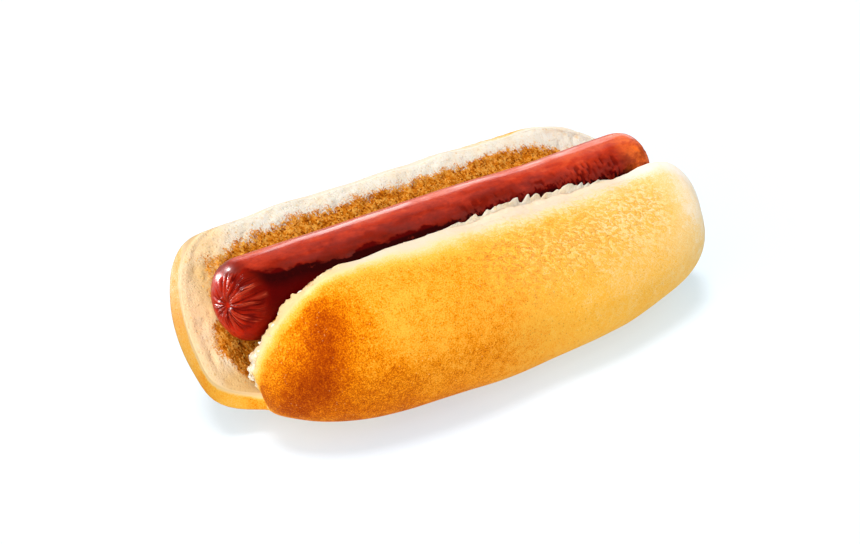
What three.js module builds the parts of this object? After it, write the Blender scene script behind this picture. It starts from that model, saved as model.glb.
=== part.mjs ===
// Hot dog: one split bread bun with a frankfurter lying in its cleft.
// Millimetres, +Z up. X runs along the bun. -Y is the near lobe, which stands almost upright,
// and +Y is the far lobe, which lies open. The origin is the rest point on the floor, right
// under the sausage's axis at mid length.
import * as THREE from 'three';

// ---------- driving dimensions: the cut section of the bun (Y and Z) ----------
const CLEFT_Y = -8.1; // where the two cut faces would meet, if the cut were sharp
const CLEFT_Z = 14.4;
const NEAR_LEAN = 8; // degrees that the near cut face leans out from upright
const FAR_LEAN = 46; // degrees that the far cut face leans out from upright
const NEAR_FACE = 32; // length of the near cut face, from the cleft to its rim
const FAR_FACE = 45.4; // length of the far cut face, from the cleft to its rim
const CLEFT_ROUND = 3; // length over which the cleft turns into each face
const RIM_ROUND = 4; // length over which each rim curls outwards
const NEAR_CURL = 50; // degrees that the near rim curls
const FAR_CURL = 35;

// Crust outline of the same section, as [y, z] points from the near rim round to the far rim.
const CRUST_OUTLINE = [
  [-21, 46],
  [-33, 38],
  [-39, 22.5],
  [-33, 6],
  [-20, -0.4],
  [-6.5, -1],
  [9, 1.3],
  [24, 13.2],
  [33, 26],
  [35.5, 36.5],
  [32.5, 43.5],
];

// ---------- driving dimensions: the plan of the bun (X) ----------
// Each lobe's cut face reaches "full" along X, and narrows to "rim" at its rim over "corner".
const PLAN = {
  nearLeft: { full: 76.5, rim: 42, corner: 36 },
  nearRight: { full: 83.8, rim: 66, corner: 27 },
  farLeft: { full: 81.5, rim: 62, corner: 31 },
  farRight: { full: 80, rim: 44, corner: 20 },
};
const HINGE_LEFT = 68.5; // the hinge is shorter than the lobes
const HINGE_RIGHT = 78;
const HINGE_NEAR_BLEND = 7.5; // how far up each face the hinge's shorter ends are felt
const HINGE_FAR_BLEND = 5;
// The crust swells past the cut face at each end, and thins towards it as a superellipse.
const SWELL = { nearLeft: 1, farLeft: 2.4, nearRight: 4, farRight: 3 };
const BLUNTNESS = { nearLeft: 2.7, farLeft: 3.1, nearRight: 3.55, farRight: 4 };
const SWELL_BAND = 0.6; // part of the lobe's thickness that the swell takes up
const SWELL_CORNER = 45; // the swell dies out over this length towards a rim
const THICKEST = { near: 15, far: 5 }; // where along X each lobe is thickest
const LOBE_CHANGE = { at: 15, over: 4 }; // place up the far face where near values become far ones

// ---------- driving dimensions: unevenness of the baked and torn bun ----------
const HINGE_SAG = 5; // the cleft dips this much at its left end
const HINGE_SAG_SPREAD = 8; // along the cut faces
const HINGE_SAG_X = { start: -48, length: 30 };
const RIM_FALL = 2.8; // the near rim falls this much towards the right end
const RIM_FALL_X = { start: -20, length: 75 };
const RIM_FALL_U = 8; // it starts at the cleft and is whole this far up the near lobe
const RIM_FALL_Z = { start: 8, length: 20 };
// Ragged swells of the torn rims: the sum of waves along X, which die out below each rim.
const TEAR_WAVES = [
  { turn: 0.33, farShift: 2.1 },
  { turn: 0.21, farShift: 3.57 },
  { turn: 0.12, farShift: 0 },
];
const TEAR_HEIGHT = 0.28; // of each wave
const TEAR_DEPTH = 2.5; // length below the rim over which they die out
// Slow heaving of the crust: waves along X, each turned by its "shift" from the near rim round to
// the far rim, with their heights as parts of the lobe's thickness.
const HEAVE_WAVES = [
  { height: -0.016, length: 13, shift: 9, start: 0 },
  { height: 0.0096, length: 7.3, shift: -14, start: 1.2 },
];

// ---------- driving dimensions: the sausage ----------
const SAUSAGE_LENGTH = 152;
const SAUSAGE_RADIUS = 11;
const SAUSAGE_Z = 38; // height of its axis, which clears both cut faces by 0.3 mm
const CAP_LENGTH = 9; // length of each blunt end
const CAP_POWERS = { axial: 2.6, radial: 2.2 };
const WAIST = { at: 32, width: 17, depth: 0.055 };
const PUCKER_FOLDS = 13; // skin folds gathered at each end
const PUCKER_DEPTH = 0.75;
const PUCKER_WIDTH = 0.13; // radians, half width of one fold
const PUCKER_START = 3; // distance from the end's middle at which the folds start to fade
const PUCKER_REACH = 9.5; // distance from the end's middle at which the folds are gone
const PUCKER_DRIFT = { size: 0.3, turn: 2.4 }; // how far folds stand from even spacing
const PUCKER_CHANGE = { size: 0.3, turn: 1.9, endTurn: 2 }; // how much the folds' depths differ
const DIMPLE_DEPTH = 1.3;
const DIMPLE_RADIUS = 2;

// ---------- fineness ----------
const NEAR_COLUMNS = 19;
const FAR_COLUMNS = 25;
const HALF_STATIONS = 19;
const STATION_EVENNESS = 0.12; // 1 spaces the stations evenly, 0 crowds them towards the ends
const INTEGRATION_STEPS = 3000;
const SAUSAGE_SEGMENTS = 48;
const CAP_RINGS = 12;
const BODY_RINGS = 20;

const radians = THREE.MathUtils.degToRad;
const clamp = THREE.MathUtils.clamp;
const mix = THREE.MathUtils.lerp;

/** 0 before 0, 1 after 1, and smooth between. */
function ease(t) {
  return THREE.MathUtils.smoothstep(t, 0, 1);
}

/** Rises from 0 to 1 over a length, as a quarter of an ellipse does. */
function quarterEllipse(distance, length) {
  const t = clamp(1 - distance / length, 0, 1);
  return Math.sqrt(1 - t * t);
}

/** A value read from sorted samples, in proportion between two of them. */
function interpolate(x, xs, ys) {
  const step = xs[1] - xs[0];
  const place = clamp((x - xs[0]) / step, 0, xs.length - 1);
  const i = Math.min(Math.floor(place), xs.length - 2);
  return mix(ys[i], ys[i + 1], place - i);
}

/** A smooth curve through [y, z] points. It returns a function of the share of its length. */
function curveThrough(points) {
  const n = points.length;
  const gaps = [];
  const marks = [0];
  for (let i = 0; i < n - 1; i += 1) {
    gaps.push(Math.hypot(points[i + 1][0] - points[i][0], points[i + 1][1] - points[i][1]));
    marks.push(marks[i] + gaps[i]);
  }
  const slopes = [0, 1].map((axis) => {
    const chord = gaps.map((gap, i) => (points[i + 1][axis] - points[i][axis]) / gap);
    const slope = [];
    for (let i = 1; i < n - 1; i += 1) {
      slope[i] = (chord[i - 1] * gaps[i] + chord[i] * gaps[i - 1]) / (gaps[i - 1] + gaps[i]);
    }
    slope[0] = 2 * chord[0] - slope[1];
    slope[n - 1] = 2 * chord[n - 2] - slope[n - 2];
    return slope;
  });
  return (share) => {
    const place = share * marks[n - 1];
    let i = 0;
    while (i < n - 2 && place >= marks[i + 1]) i += 1;
    const t = (place - marks[i]) / gaps[i];
    return [0, 1].map((axis) => {
      const start = (2 * t ** 3 - 3 * t ** 2 + 1) * points[i][axis];
      const leaving = (t ** 3 - 2 * t ** 2 + t) * gaps[i] * slopes[axis][i];
      const end = (3 * t ** 2 - 2 * t ** 3) * points[i + 1][axis];
      const arriving = (t ** 3 - t ** 2) * gaps[i] * slopes[axis][i + 1];
      return start + leaving + end + arriving;
    });
  };
}

/**
 * The cut section as a function of u, the length along it: -NEAR_FACE at the near rim, 0 in the
 * cleft and FAR_FACE at the far rim. Its direction turns in the cleft and again at each rim.
 */
function cutSection() {
  const down = radians(NEAR_LEAN - 90);
  const up = radians(90 - FAR_LEAN);
  const length = NEAR_FACE + FAR_FACE;
  const step = length / INTEGRATION_STEPS;
  const us = [];
  const ys = [];
  const zs = [];
  let y = 0;
  let z = 0;
  for (let i = 0; i <= INTEGRATION_STEPS; i += 1) {
    const u = -NEAR_FACE + i * step;
    us.push(u);
    ys.push(y);
    zs.push(z);
    let direction = mix(down, up, ease((u + CLEFT_ROUND) / (2 * CLEFT_ROUND)));
    direction += radians(NEAR_CURL) * (1 - ease((u + NEAR_FACE) / RIM_ROUND));
    direction -= radians(FAR_CURL) * ease((u - FAR_FACE + RIM_ROUND) / RIM_ROUND);
    y += Math.cos(direction) * step;
    z += Math.sin(direction) * step;
  }
  // The straight stretches of both faces are run on to where they meet, and that goes to the cleft.
  const nearY = interpolate(-NEAR_FACE / 2, us, ys);
  const nearZ = interpolate(-NEAR_FACE / 2, us, zs);
  const toFarY = interpolate(FAR_FACE / 2, us, ys) - nearY;
  const toFarZ = interpolate(FAR_FACE / 2, us, zs) - nearZ;
  const run = (toFarY * Math.sin(up) - toFarZ * Math.cos(up)) / Math.sin(up - down);
  const moveY = CLEFT_Y - nearY - run * Math.cos(down);
  const moveZ = CLEFT_Z - nearZ - run * Math.sin(down);
  return (u) => [interpolate(u, us, ys) + moveY, interpolate(u, us, zs) + moveZ];
}

/** How far the cut face reaches along X at u, on the left or the right. */
function reachAt(u, side) {
  const near = u < 0;
  const plan = PLAN[(near ? 'near' : 'far') + side];
  const belowRim = near ? u + NEAR_FACE : FAR_FACE - u;
  const reach = mix(plan.rim, plan.full, quarterEllipse(belowRim, plan.corner));
  const hinge = side === 'Left' ? HINGE_LEFT : HINGE_RIGHT;
  return mix(reach, hinge, Math.exp(-((u / (near ? HINGE_NEAR_BLEND : HINGE_FAR_BLEND)) ** 2)));
}

/** Height of the ragged swells of a torn rim. */
function tearAt(x, near) {
  const waves = TEAR_WAVES.map((wave) => Math.sin(x * wave.turn + (near ? 0 : wave.farShift)));
  return TEAR_HEIGHT * waves.reduce((sum, wave) => sum + wave, 0);
}

/** Slow heaving of the crust, as a part of the lobe's thickness. */
function heaveAt(x, share) {
  const waves = HEAVE_WAVES.map(
    (wave) => wave.height * Math.sin(x / wave.length + wave.shift * share + wave.start),
  );
  return waves.reduce((sum, wave) => sum + wave, 0);
}

/** Moves a point of the section for the bun's unevenness. */
function settle(point, u) {
  const [x, y, z] = point;
  const near = u < 0;
  const belowRim = near ? u + NEAR_FACE : FAR_FACE - u;
  const sagShare = ease((HINGE_SAG_X.start - x) / HINGE_SAG_X.length) * clamp(z / CLEFT_Z, 0, 1);
  const sag = HINGE_SAG * Math.exp(-((u / HINGE_SAG_SPREAD) ** 2)) * sagShare;
  const upNearLobe = clamp(-u / RIM_FALL_U, 0, 1) *
    clamp((z - RIM_FALL_Z.start) / RIM_FALL_Z.length, 0, 1);
  const fall = RIM_FALL * ease((x - RIM_FALL_X.start) / RIM_FALL_X.length) * upNearLobe;
  const tear = tearAt(x, near) * Math.exp(-belowRim / TEAR_DEPTH);
  return new THREE.Vector3(x, y, Math.max(z - sag - fall + tear, 0));
}

/**
 * One row of stations across the bun at u, from the left end to the right end. Both the cut face
 * and the crust have a station at the same share of the length, and they meet at the two ends.
 */
function stationsAt(u, section, crust) {
  const cut = section(u);
  const share = u < 0 ? 0.5 * (1 + u / NEAR_FACE) : 0.5 * (1 + u / FAR_FACE);
  const shell = crust(share);
  const farness = 1 / (1 + Math.exp((LOBE_CHANGE.at - u) / LOBE_CHANGE.over));
  const thickest = mix(THICKEST.near, THICKEST.far, farness);
  const belowRim = u < 0 ? u + NEAR_FACE : FAR_FACE - u;
  const stations = [];
  for (let i = -HALF_STATIONS; i <= HALF_STATIONS; i += 1) {
    const side = i < 0 ? 'Left' : 'Right';
    const sign = Math.sign(i);
    const fromEnd = 1 - Math.abs(i) / HALF_STATIONS;
    const outward = 1 - mix(fromEnd ** 2, fromEnd, STATION_EVENNESS);
    const reach = reachAt(u, side);
    const x = mix(thickest, sign * reach, sign === 0 ? 0 : outward);
    const power = mix(BLUNTNESS[`near${side}`], BLUNTNESS[`far${side}`], farness);
    const thickness = (1 - outward ** power) ** (1 / power);
    const swell = mix(SWELL[`near${side}`], SWELL[`far${side}`], farness) *
      quarterEllipse(belowRim, SWELL_CORNER) *
      Math.sin(Math.PI * Math.min(thickness / SWELL_BAND, 1)) ** 2;
    const depth = thickness * (1 + heaveAt(x, share));
    stations.push({
      cut: settle([x, cut[0], cut[1]], u),
      crust: settle([
        x + sign * swell,
        mix(cut[0], shell[0], depth),
        mix(cut[1], shell[1], depth),
      ], u),
    });
  }
  return stations;
}

/** A closed BufferGeometry from shared vertices and triangles. */
function closedGeometry(vertices, triangles) {
  const geometry = new THREE.BufferGeometry();
  const positions = vertices.flatMap((vertex) => [vertex.x, vertex.y, vertex.z]);
  geometry.setAttribute('position', new THREE.Float32BufferAttribute(positions, 3));
  geometry.setIndex(triangles);
  geometry.computeVertexNormals();
  return geometry;
}

/** The bun: a sheet for the cut faces and a sheet for the crust, joined all round their edge. */
function bunGeometry() {
  const section = cutSection();
  const crust = curveThrough([section(-NEAR_FACE), ...CRUST_OUTLINE, section(FAR_FACE)]);
  const columns = NEAR_COLUMNS + FAR_COLUMNS;
  const vertices = [];
  const cutIndex = [];
  const crustIndex = [];
  for (let c = 0; c <= columns; c += 1) {
    const along = c - NEAR_COLUMNS;
    const u = along < 0 ? (NEAR_FACE * along) / NEAR_COLUMNS : (FAR_FACE * along) / FAR_COLUMNS;
    const stations = stationsAt(u, section, crust);
    cutIndex.push([]);
    crustIndex.push([]);
    stations.forEach((station, s) => {
      const onEdge = c === 0 || c === columns || s === 0 || s === stations.length - 1;
      cutIndex[c].push(vertices.push(station.cut) - 1);
      crustIndex[c].push(onEdge ? cutIndex[c][s] : vertices.push(station.crust) - 1);
    });
  }
  const triangles = [];
  for (let c = 0; c < columns; c += 1) {
    for (let s = 0; s < 2 * HALF_STATIONS; s += 1) {
      const [a, b, d, e] = [[c, s], [c + 1, s], [c + 1, s + 1], [c, s + 1]];
      const cut = ([i, j]) => cutIndex[i][j];
      const shell = ([i, j]) => crustIndex[i][j];
      triangles.push(cut(a), cut(e), cut(d), cut(a), cut(d), cut(b));
      triangles.push(shell(a), shell(b), shell(d), shell(a), shell(d), shell(e));
    }
  }
  return closedGeometry(vertices, triangles);
}

/** Depth of the gathered skin at one end, at a distance from its middle and an angle round it. */
function puckerDepth(distance, angle, end) {
  let fold = 0;
  for (let k = 0; k < PUCKER_FOLDS; k += 1) {
    const drift = PUCKER_DRIFT.size * Math.sin(PUCKER_DRIFT.turn * k + end);
    const middle = (2 * Math.PI * (k + drift)) / PUCKER_FOLDS;
    const away = Math.atan2(Math.sin(angle - middle), Math.cos(angle - middle));
    const change = Math.sin(PUCKER_CHANGE.turn * k + PUCKER_CHANGE.endTurn * end);
    const strength = 1 - PUCKER_CHANGE.size * (1 - change);
    fold = Math.max(fold, strength * Math.exp(-((away / PUCKER_WIDTH) ** 2)));
  }
  const fade = ease((distance - PUCKER_START) / (PUCKER_REACH - PUCKER_START));
  const folds = PUCKER_DEPTH * fold * ease(distance / DIMPLE_RADIUS) * (1 - fade);
  return folds + DIMPLE_DEPTH * Math.exp(-((distance / DIMPLE_RADIUS) ** 2));
}

/** Rings of the sausage's left half cap, from its pole to where the straight body starts. */
function capProfile() {
  const rings = [];
  for (let i = 0; i <= CAP_RINGS; i += 1) {
    const angle = (Math.PI / 2) * (i / CAP_RINGS);
    const reach = Math.cos(angle) ** (2 / CAP_POWERS.axial);
    const radius = Math.sin(angle) ** (2 / CAP_POWERS.radial);
    const normal = new THREE.Vector2(
      reach ** (CAP_POWERS.axial - 1) / CAP_LENGTH,
      radius ** (CAP_POWERS.radial - 1) / SAUSAGE_RADIUS,
    ).normalize();
    rings.push({ reach, radius: SAUSAGE_RADIUS * radius, normal });
  }
  return rings;
}

/** The sausage: rings round its axis between two puckered ends. */
function sausageGeometry() {
  const straight = SAUSAGE_LENGTH / 2 - CAP_LENGTH;
  const cap = capProfile();
  const rings = cap.map((ring) => ({ ...ring, x: -straight - CAP_LENGTH * ring.reach, end: -1 }));
  for (let i = 1; i < BODY_RINGS; i += 1) {
    const x = mix(-straight, straight, i / BODY_RINGS);
    rings.push({ x, reach: 0, radius: SAUSAGE_RADIUS, normal: new THREE.Vector2(0, 1), end: 0 });
  }
  [...cap].reverse().forEach((ring) => {
    rings.push({ ...ring, x: straight + CAP_LENGTH * ring.reach, end: 1 });
  });

  const vertices = [];
  const ringStart = [];
  rings.forEach((ring) => {
    ringStart.push(vertices.length);
    const atPole = ring.reach === 1;
    const waist = 1 - WAIST.depth * Math.exp(-(((ring.x - WAIST.at) / WAIST.width) ** 2));
    const fromPole = Math.hypot(ring.radius, (1 - ring.reach) * CAP_LENGTH);
    const count = atPole ? 1 : SAUSAGE_SEGMENTS;
    for (let k = 0; k < count; k += 1) {
      const angle = (2 * Math.PI * k) / SAUSAGE_SEGMENTS;
      const depth = ring.end === 0 ? 0 : puckerDepth(fromPole, angle, ring.end);
      const radius = atPole ? 0 : ring.radius * waist - depth * ring.normal.y;
      const x = ring.x - ring.end * depth * ring.normal.x;
      vertices.push(new THREE.Vector3(
        x,
        radius * Math.cos(angle),
        SAUSAGE_Z + radius * Math.sin(angle),
      ));
    }
  });

  const triangles = [];
  const corner = (ring, k) => {
    const single = ring === 0 || ring === rings.length - 1;
    return ringStart[ring] + (single ? 0 : k % SAUSAGE_SEGMENTS);
  };
  for (let ring = 0; ring < rings.length - 1; ring += 1) {
    for (let k = 0; k < SAUSAGE_SEGMENTS; k += 1) {
      const [a, b] = [corner(ring, k), corner(ring + 1, k)];
      const [d, e] = [corner(ring + 1, k + 1), corner(ring, k + 1)];
      if (ring > 0) triangles.push(a, e, b);
      if (ring < rings.length - 2) triangles.push(e, d, b);
    }
  }
  return closedGeometry(vertices, triangles);
}

const breadMaterial = new THREE.MeshStandardMaterial({
  color: 0xf0a63c,
  roughness: 0.6,
  metalness: 0,
});
const sausageMaterial = new THREE.MeshStandardMaterial({
  color: 0x9e2a1c,
  roughness: 0.3,
  metalness: 0,
});

const hotDog = new THREE.Group();

const bun = new THREE.Mesh(bunGeometry(), breadMaterial);
bun.name = 'bun';
hotDog.add(bun);

const sausage = new THREE.Mesh(sausageGeometry(), sausageMaterial);
sausage.name = 'sausage';
hotDog.add(sausage);

export default hotDog;
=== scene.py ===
"""Hot dog: a soft split bun with a frankfurter in its cleft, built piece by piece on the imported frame.

The shapes are worked out in millimetres, in the frame's own axes: X along the bun, -Y the upright
near lobe, +Y the open far lobe and +Z up. A finished mesh is in metres.
"""

import itertools
import math
from collections import namedtuple

import bpy
import numpy as np
from bpy.props import FloatProperty, FloatVectorProperty, IntProperty, PointerProperty
from mathutils import Matrix, Vector


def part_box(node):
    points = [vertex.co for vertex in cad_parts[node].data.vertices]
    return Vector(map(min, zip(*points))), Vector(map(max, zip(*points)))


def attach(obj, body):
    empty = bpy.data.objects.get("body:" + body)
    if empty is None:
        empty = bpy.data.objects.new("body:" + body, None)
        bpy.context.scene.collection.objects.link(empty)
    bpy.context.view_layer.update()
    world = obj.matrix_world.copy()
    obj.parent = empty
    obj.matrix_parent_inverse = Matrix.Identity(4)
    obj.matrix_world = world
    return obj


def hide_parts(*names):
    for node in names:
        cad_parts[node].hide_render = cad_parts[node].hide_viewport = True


bl_info = {
    "name": "Hot Dog",
    "version": (1, 0, 0),
    "blender": (4, 5, 0),
    "location": "View3D > Sidebar > Hot Dog",
    "description": "Builds a split bread bun with a frankfurter lying in its cleft",
    "category": "Add Mesh",
}

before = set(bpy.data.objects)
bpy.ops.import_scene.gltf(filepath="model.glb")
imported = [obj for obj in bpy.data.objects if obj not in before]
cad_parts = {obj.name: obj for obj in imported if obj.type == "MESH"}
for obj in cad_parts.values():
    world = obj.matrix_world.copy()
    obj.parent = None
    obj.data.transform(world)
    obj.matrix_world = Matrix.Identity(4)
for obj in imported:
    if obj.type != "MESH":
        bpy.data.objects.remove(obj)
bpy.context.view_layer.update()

MM = 0.001  # a millimetre in metres
UP = 2  # index of the Z axis

# ---------- the sausage's place, read from the frame ----------
SAUSAGE_LOW, SAUSAGE_HIGH = (np.array(corner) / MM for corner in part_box("sausage"))
SAUSAGE_HALF = (SAUSAGE_HIGH[0] - SAUSAGE_LOW[0]) / 2
SAUSAGE_RADIUS = (SAUSAGE_HIGH[UP] - SAUSAGE_LOW[UP]) / 2
SAUSAGE_Z = (SAUSAGE_HIGH[UP] + SAUSAGE_LOW[UP]) / 2
CAP_LENGTH = 9.0  # each rounded end, along X
BREAD_GAP, GRAIN_GAP = 0.16, 0.12  # least room left between the sausage and the bread or its grains

# ---------- the bun's two lobes ----------
# A column's place across the cut is u: -NEAR.face at the near rim, 0 in the cleft, FAR.face at the far rim.
# Each end of a cut face reaches "full" along X, and narrows to "rim" at the rim over "corner".
# The crust swells past it, and thins towards it as a superellipse of the power "bluntness".
# A lobe leans away from upright and curls at its rim by degrees, and is thickest at an X.
End = namedtuple("End", "full rim corner swell bluntness")
Lobe = namedtuple("Lobe", "lean face curl thickest hinge_blend columns left right")
NEAR = Lobe(
    lean=8, face=32, curl=50, thickest=15, hinge_blend=7.5, columns=84,
    left=End(76.5, 42, 36, 1, 2.7), right=End(83.8, 66, 27, 4, 3.55),
)
FAR = Lobe(
    lean=46, face=45.4, curl=35, thickest=5, hinge_blend=5, columns=66,
    left=End(81.5, 62, 31, 2.4, 3.1), right=End(80, 44, 20, 3, 4),
)
CLEFT = (-8.1, 14.4)  # Y and Z where the two cut faces would meet
CLEFT_ROUND = 3.0
RIM_ROUND = 4.0
CRUST_OUTLINE = [  # Y and Z round the crust, from below the near rim to below the far rim
    (-21, 46), (-33, 38), (-39, 22.5), (-33, 6), (-20, -0.4), (-6.5, -1),
    (9, 1.3), (24, 13.2), (33, 26), (35.5, 36.5), (32.5, 43.5),
]
HINGE = {"left": 68.5, "right": 78}  # how far the bread reaches along X in the cleft
LOBE_CHANGE = (15, 4)  # the u where the near lobe's roundness turns into the far lobe's, and how softly
SWELL_BAND = 0.6  # the crust swells where it has less than this share of its thickness
SWELL_CORNER = 45.0
HALF_STATIONS = 163  # steps along X, from an end to the thickest place
STATIONS_ALIKE = 6.0  # this close to a rim, the cut's stations turn into the crust's
COLUMN_CROWDING, STATION_CROWDING = 0.4, 0.5
SECTION_STEPS, ELLIPSE_STEPS = 4000, 599  # fine steps that the sections are measured in
SAG = {"depth": 5, "spread": 8, "start": -48, "length": 30}
FALL = {"depth": 2.8, "start": -20, "length": 75, "beside_cleft": 8, "above": 8, "height": 20}
TEAR_WAVES = ((0.33, 2.1), (0.21, 3.57), (0.12, 0))  # turn along X, and shift on the far rim
TEAR = {"height": 0.28, "depth": 2.5}
LEDGE = {"height": 2.85, "start": -16, "end": 50, "lean": (0, -0.25, 1)}  # the strip torn up by the rim
# Slow heaving of the crust: height, length along X, shift round the section, and start.
HEAVE_WAVES = ((-0.016, 13, 9, 0), (0.0096, 7.3, -14, 1.2))

# ---------- the bun's finish ----------
TOAST_TOP, TOAST_LOW, TOAST_RIGHT = 40.85, -22, 70
TOAST_LEFT = [  # u, and the X where the toast starts
    (0, -67), (3, -69.5), (9, -74), (15, -76.5), (19, -75), (22, -70), (33, -68), (36, -68), (45, -67),
]
NEAR_BAKE, FAR_BAKE = 0.67, 0.62
# The darkest place of the near crust is a slanted streak, which starts at x by the rim.
STREAK = {"x": -53, "slant": -45, "width": 4.4, "depth": 0.22}
CREASE = {"inside": 3.2, "width": 0.4, "depth": 0.6, "start": -12, "end": 58}
CRINKLES = {"start": -28, "end": 68, "inside": 17, "reach": 18}
CRUST_BAKES = {
    "pale": 0.2, "golden": 0.5, "honey": 0.65, "amber": 0.75, "russet": 0.875, "deep": 1.025,
    "scorched": 1.25,
}
LOWEST_FLAKE = 9  # torn flakes lie above this height


# ---------------------------------------------------------------- numbers and noise

def ease(t):
    """0 before 0, 1 after 1, and smooth between."""
    t = np.clip(t, 0, 1)
    return t * t * (3 - 2 * t)


def rise(value, start, length):
    """0 up to the start and 1 past the length after it. A negative length rises towards lower values."""
    return ease((value - start) / length)


def hump(value, middle, width):
    """1 at the middle, with a smooth fall to 0 on both sides."""
    return np.exp(-((value - middle) / width) ** 2)


def trace(value, points):
    """The height, at a value, of the line through the points."""
    return np.interp(value, *zip(*points))


def mix(a, b, share):
    return a + (b - a) * share


def crowded(share, crowding):
    """From 1 to 0 as the share goes from 0 to 1, in steps that are crowded towards the 1."""
    return 1 - (1 - crowding) * share - crowding * share ** 2


def quarter_ellipse(distance, length):
    """Grows from 0 at no distance to 1 at the length, as the height of an ellipse's quarter does."""
    t = np.clip(1 - distance / length, 0, 1)
    return np.sqrt(1 - t * t)


AXIS_PRIMES = np.array([73856093, 19349663, 83492791])
SEED_FACTOR, MIXING_FACTOR = 2654435, 1274126177


def lattice_noise(points, size, seed=0):
    """Smooth noise from -1 to 1 whose bumps are about "size" millimetres across."""
    place = np.asarray(points, float) / size + 1000.0
    cell = np.floor(place).astype(np.int64)
    part = place - cell
    part = part * part * (3 - 2 * part)
    total = np.zeros(len(place))
    for corner in itertools.product((0, 1), repeat=3):
        mixed = np.bitwise_xor.reduce((cell + corner) * AXIS_PRIMES, axis=1) ^ (seed + 7) * SEED_FACTOR
        mixed = (mixed ^ (mixed >> 13)) & 0xFFFFFFFF
        mixed = (mixed * MIXING_FACTOR) & 0xFFFFFFFF
        mixed = mixed ^ (mixed >> 16)
        value = (mixed & 0xFFFF) / 32767.5 - 1
        weight = np.prod(np.where(corner, part, 1 - part), axis=1)
        total += weight * value
    return total


def layered_noise(points, size, layers=3, seed=0):
    """Several sizes of noise on top of each other, each half as large as the one before."""
    total = 0
    for layer in range(layers):
        total = total + lattice_noise(points, size / 2 ** layer, seed + layer) / 2 ** layer
    return total / 1.5


# ---------------------------------------------------------------- shape of the bun

def smooth_curve(points, share):
    """Points on a smooth curve through the given ones, at shares of its length."""
    points = np.asarray(points, float)
    gaps = np.linalg.norm(np.diff(points, axis=0), axis=1)
    marks = np.r_[0, np.cumsum(gaps)]
    chord = np.diff(points, axis=0) / gaps[:, None]
    slope = np.empty_like(points)
    before, after = gaps[:-1, None], gaps[1:, None]
    slope[1:-1] = (chord[:-1] * after + chord[1:] * before) / (before + after)
    slope[0] = 2 * chord[0] - slope[1]
    slope[-1] = 2 * chord[-1] - slope[-2]
    place = share * marks[-1]
    i = np.clip(np.searchsorted(marks, place, side="right") - 1, 0, len(gaps) - 1)
    gap = gaps[i][:, None]
    t = (place - marks[i])[:, None] / gap
    start = (2 * t ** 3 - 3 * t ** 2 + 1) * points[i]
    leaving = (t ** 3 - 2 * t ** 2 + t) * gap * slope[i]
    end = (3 * t ** 2 - 2 * t ** 3) * points[i + 1]
    arriving = (t ** 3 - t ** 2) * gap * slope[i + 1]
    return start + leaving + end + arriving


def cut_section(u):
    """Y and Z of the cut section at u."""
    down = math.radians(NEAR.lean - 90)
    up = math.radians(90 - FAR.lean)
    us = np.linspace(-NEAR.face, FAR.face, SECTION_STEPS + 1)
    direction = mix(down, up, ease((us + CLEFT_ROUND) / (2 * CLEFT_ROUND)))
    direction += math.radians(NEAR.curl) * (1 - ease((us + NEAR.face) / RIM_ROUND))
    direction -= math.radians(FAR.curl) * ease((us - FAR.face + RIM_ROUND) / RIM_ROUND)
    step = us[1] - us[0]
    ys = np.r_[0, np.cumsum(np.cos(direction[:-1]) * step)]
    zs = np.r_[0, np.cumsum(np.sin(direction[:-1]) * step)]
    # The straight stretches of both faces are run on to where they meet, and that goes to the cleft.
    near_y, near_z = (np.interp(-NEAR.face / 2, us, axis) for axis in (ys, zs))
    far_y, far_z = (np.interp(FAR.face / 2, us, axis) for axis in (ys, zs))
    run = (far_y - near_y) * math.sin(up) - (far_z - near_z) * math.cos(up)
    run /= math.sin(up - down)
    ys += CLEFT[0] - near_y - run * math.cos(down)
    zs += CLEFT[1] - near_z - run * math.sin(down)
    return np.interp(u, us, ys), np.interp(u, us, zs)


def crust_share(u):
    """How far round the crust a column is: 0 at the near rim, 0.5 under the cleft, 1 at the far rim."""
    return 0.5 * (1 + u / np.where(u < 0, NEAR.face, FAR.face))


def rim_distance(u):
    """How far a column is from the rim of its lobe, across the cut."""
    return np.where(u < 0, u + NEAR.face, FAR.face - u)


def sheet_place(x, across=0):
    """Points for noise that follows a sheet instead of space, from X and a place across it."""
    return np.stack([x, across + 0 * x, 0 * x], 1)


def column_places():
    """The u of each column, closer together towards the rims."""
    near = np.arange(NEAR.columns) / NEAR.columns
    far = np.arange(FAR.columns + 1) / FAR.columns
    return np.r_[-NEAR.face * crowded(near, COLUMN_CROWDING), FAR.face * crowded(1 - far, COLUMN_CROWDING)]


def superellipse_stations(power, length, thickness, count):
    """Shares of the length at even steps along a superellipse from its end to its middle."""
    angle = np.linspace(0, np.pi / 2, ELLIPSE_STEPS + 1)
    outward = np.cos(angle) ** (2 / power)
    inward = np.sin(angle) ** (2 / power)
    run = np.hypot(np.diff(outward) * length, np.diff(inward) * thickness)
    marks = np.r_[0, np.cumsum(run)]
    return np.interp(np.linspace(0, marks[-1], count + 1), marks, outward)


def tear_at(x, near):
    """Height of the ragged swells of a torn rim."""
    return TEAR["height"] * sum(np.sin(x * turn + np.where(near, 0, shift)) for turn, shift in TEAR_WAVES)


def settle(points, u):
    """Moves a grid of points for the sagging hinge, the falling near rim and the ragged rims."""
    x, z = points[..., 0], points[..., UP]
    sag = SAG["depth"] * hump(u, 0, SAG["spread"])
    sag = sag * rise(x, SAG["start"], -SAG["length"]) * np.clip(z / CLEFT[1], 0, 1)
    up_near_lobe = np.clip((z - FALL["above"]) / FALL["height"], 0, 1)
    up_near_lobe = up_near_lobe * np.clip(-u / FALL["beside_cleft"], 0, 1)
    fall = FALL["depth"] * rise(x, FALL["start"], FALL["length"]) * up_near_lobe
    tear = tear_at(x, u < 0) * np.exp(-rim_distance(u) / TEAR["depth"])
    points[..., UP] = np.maximum(z - sag - fall + tear, 0)
    return points


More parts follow.
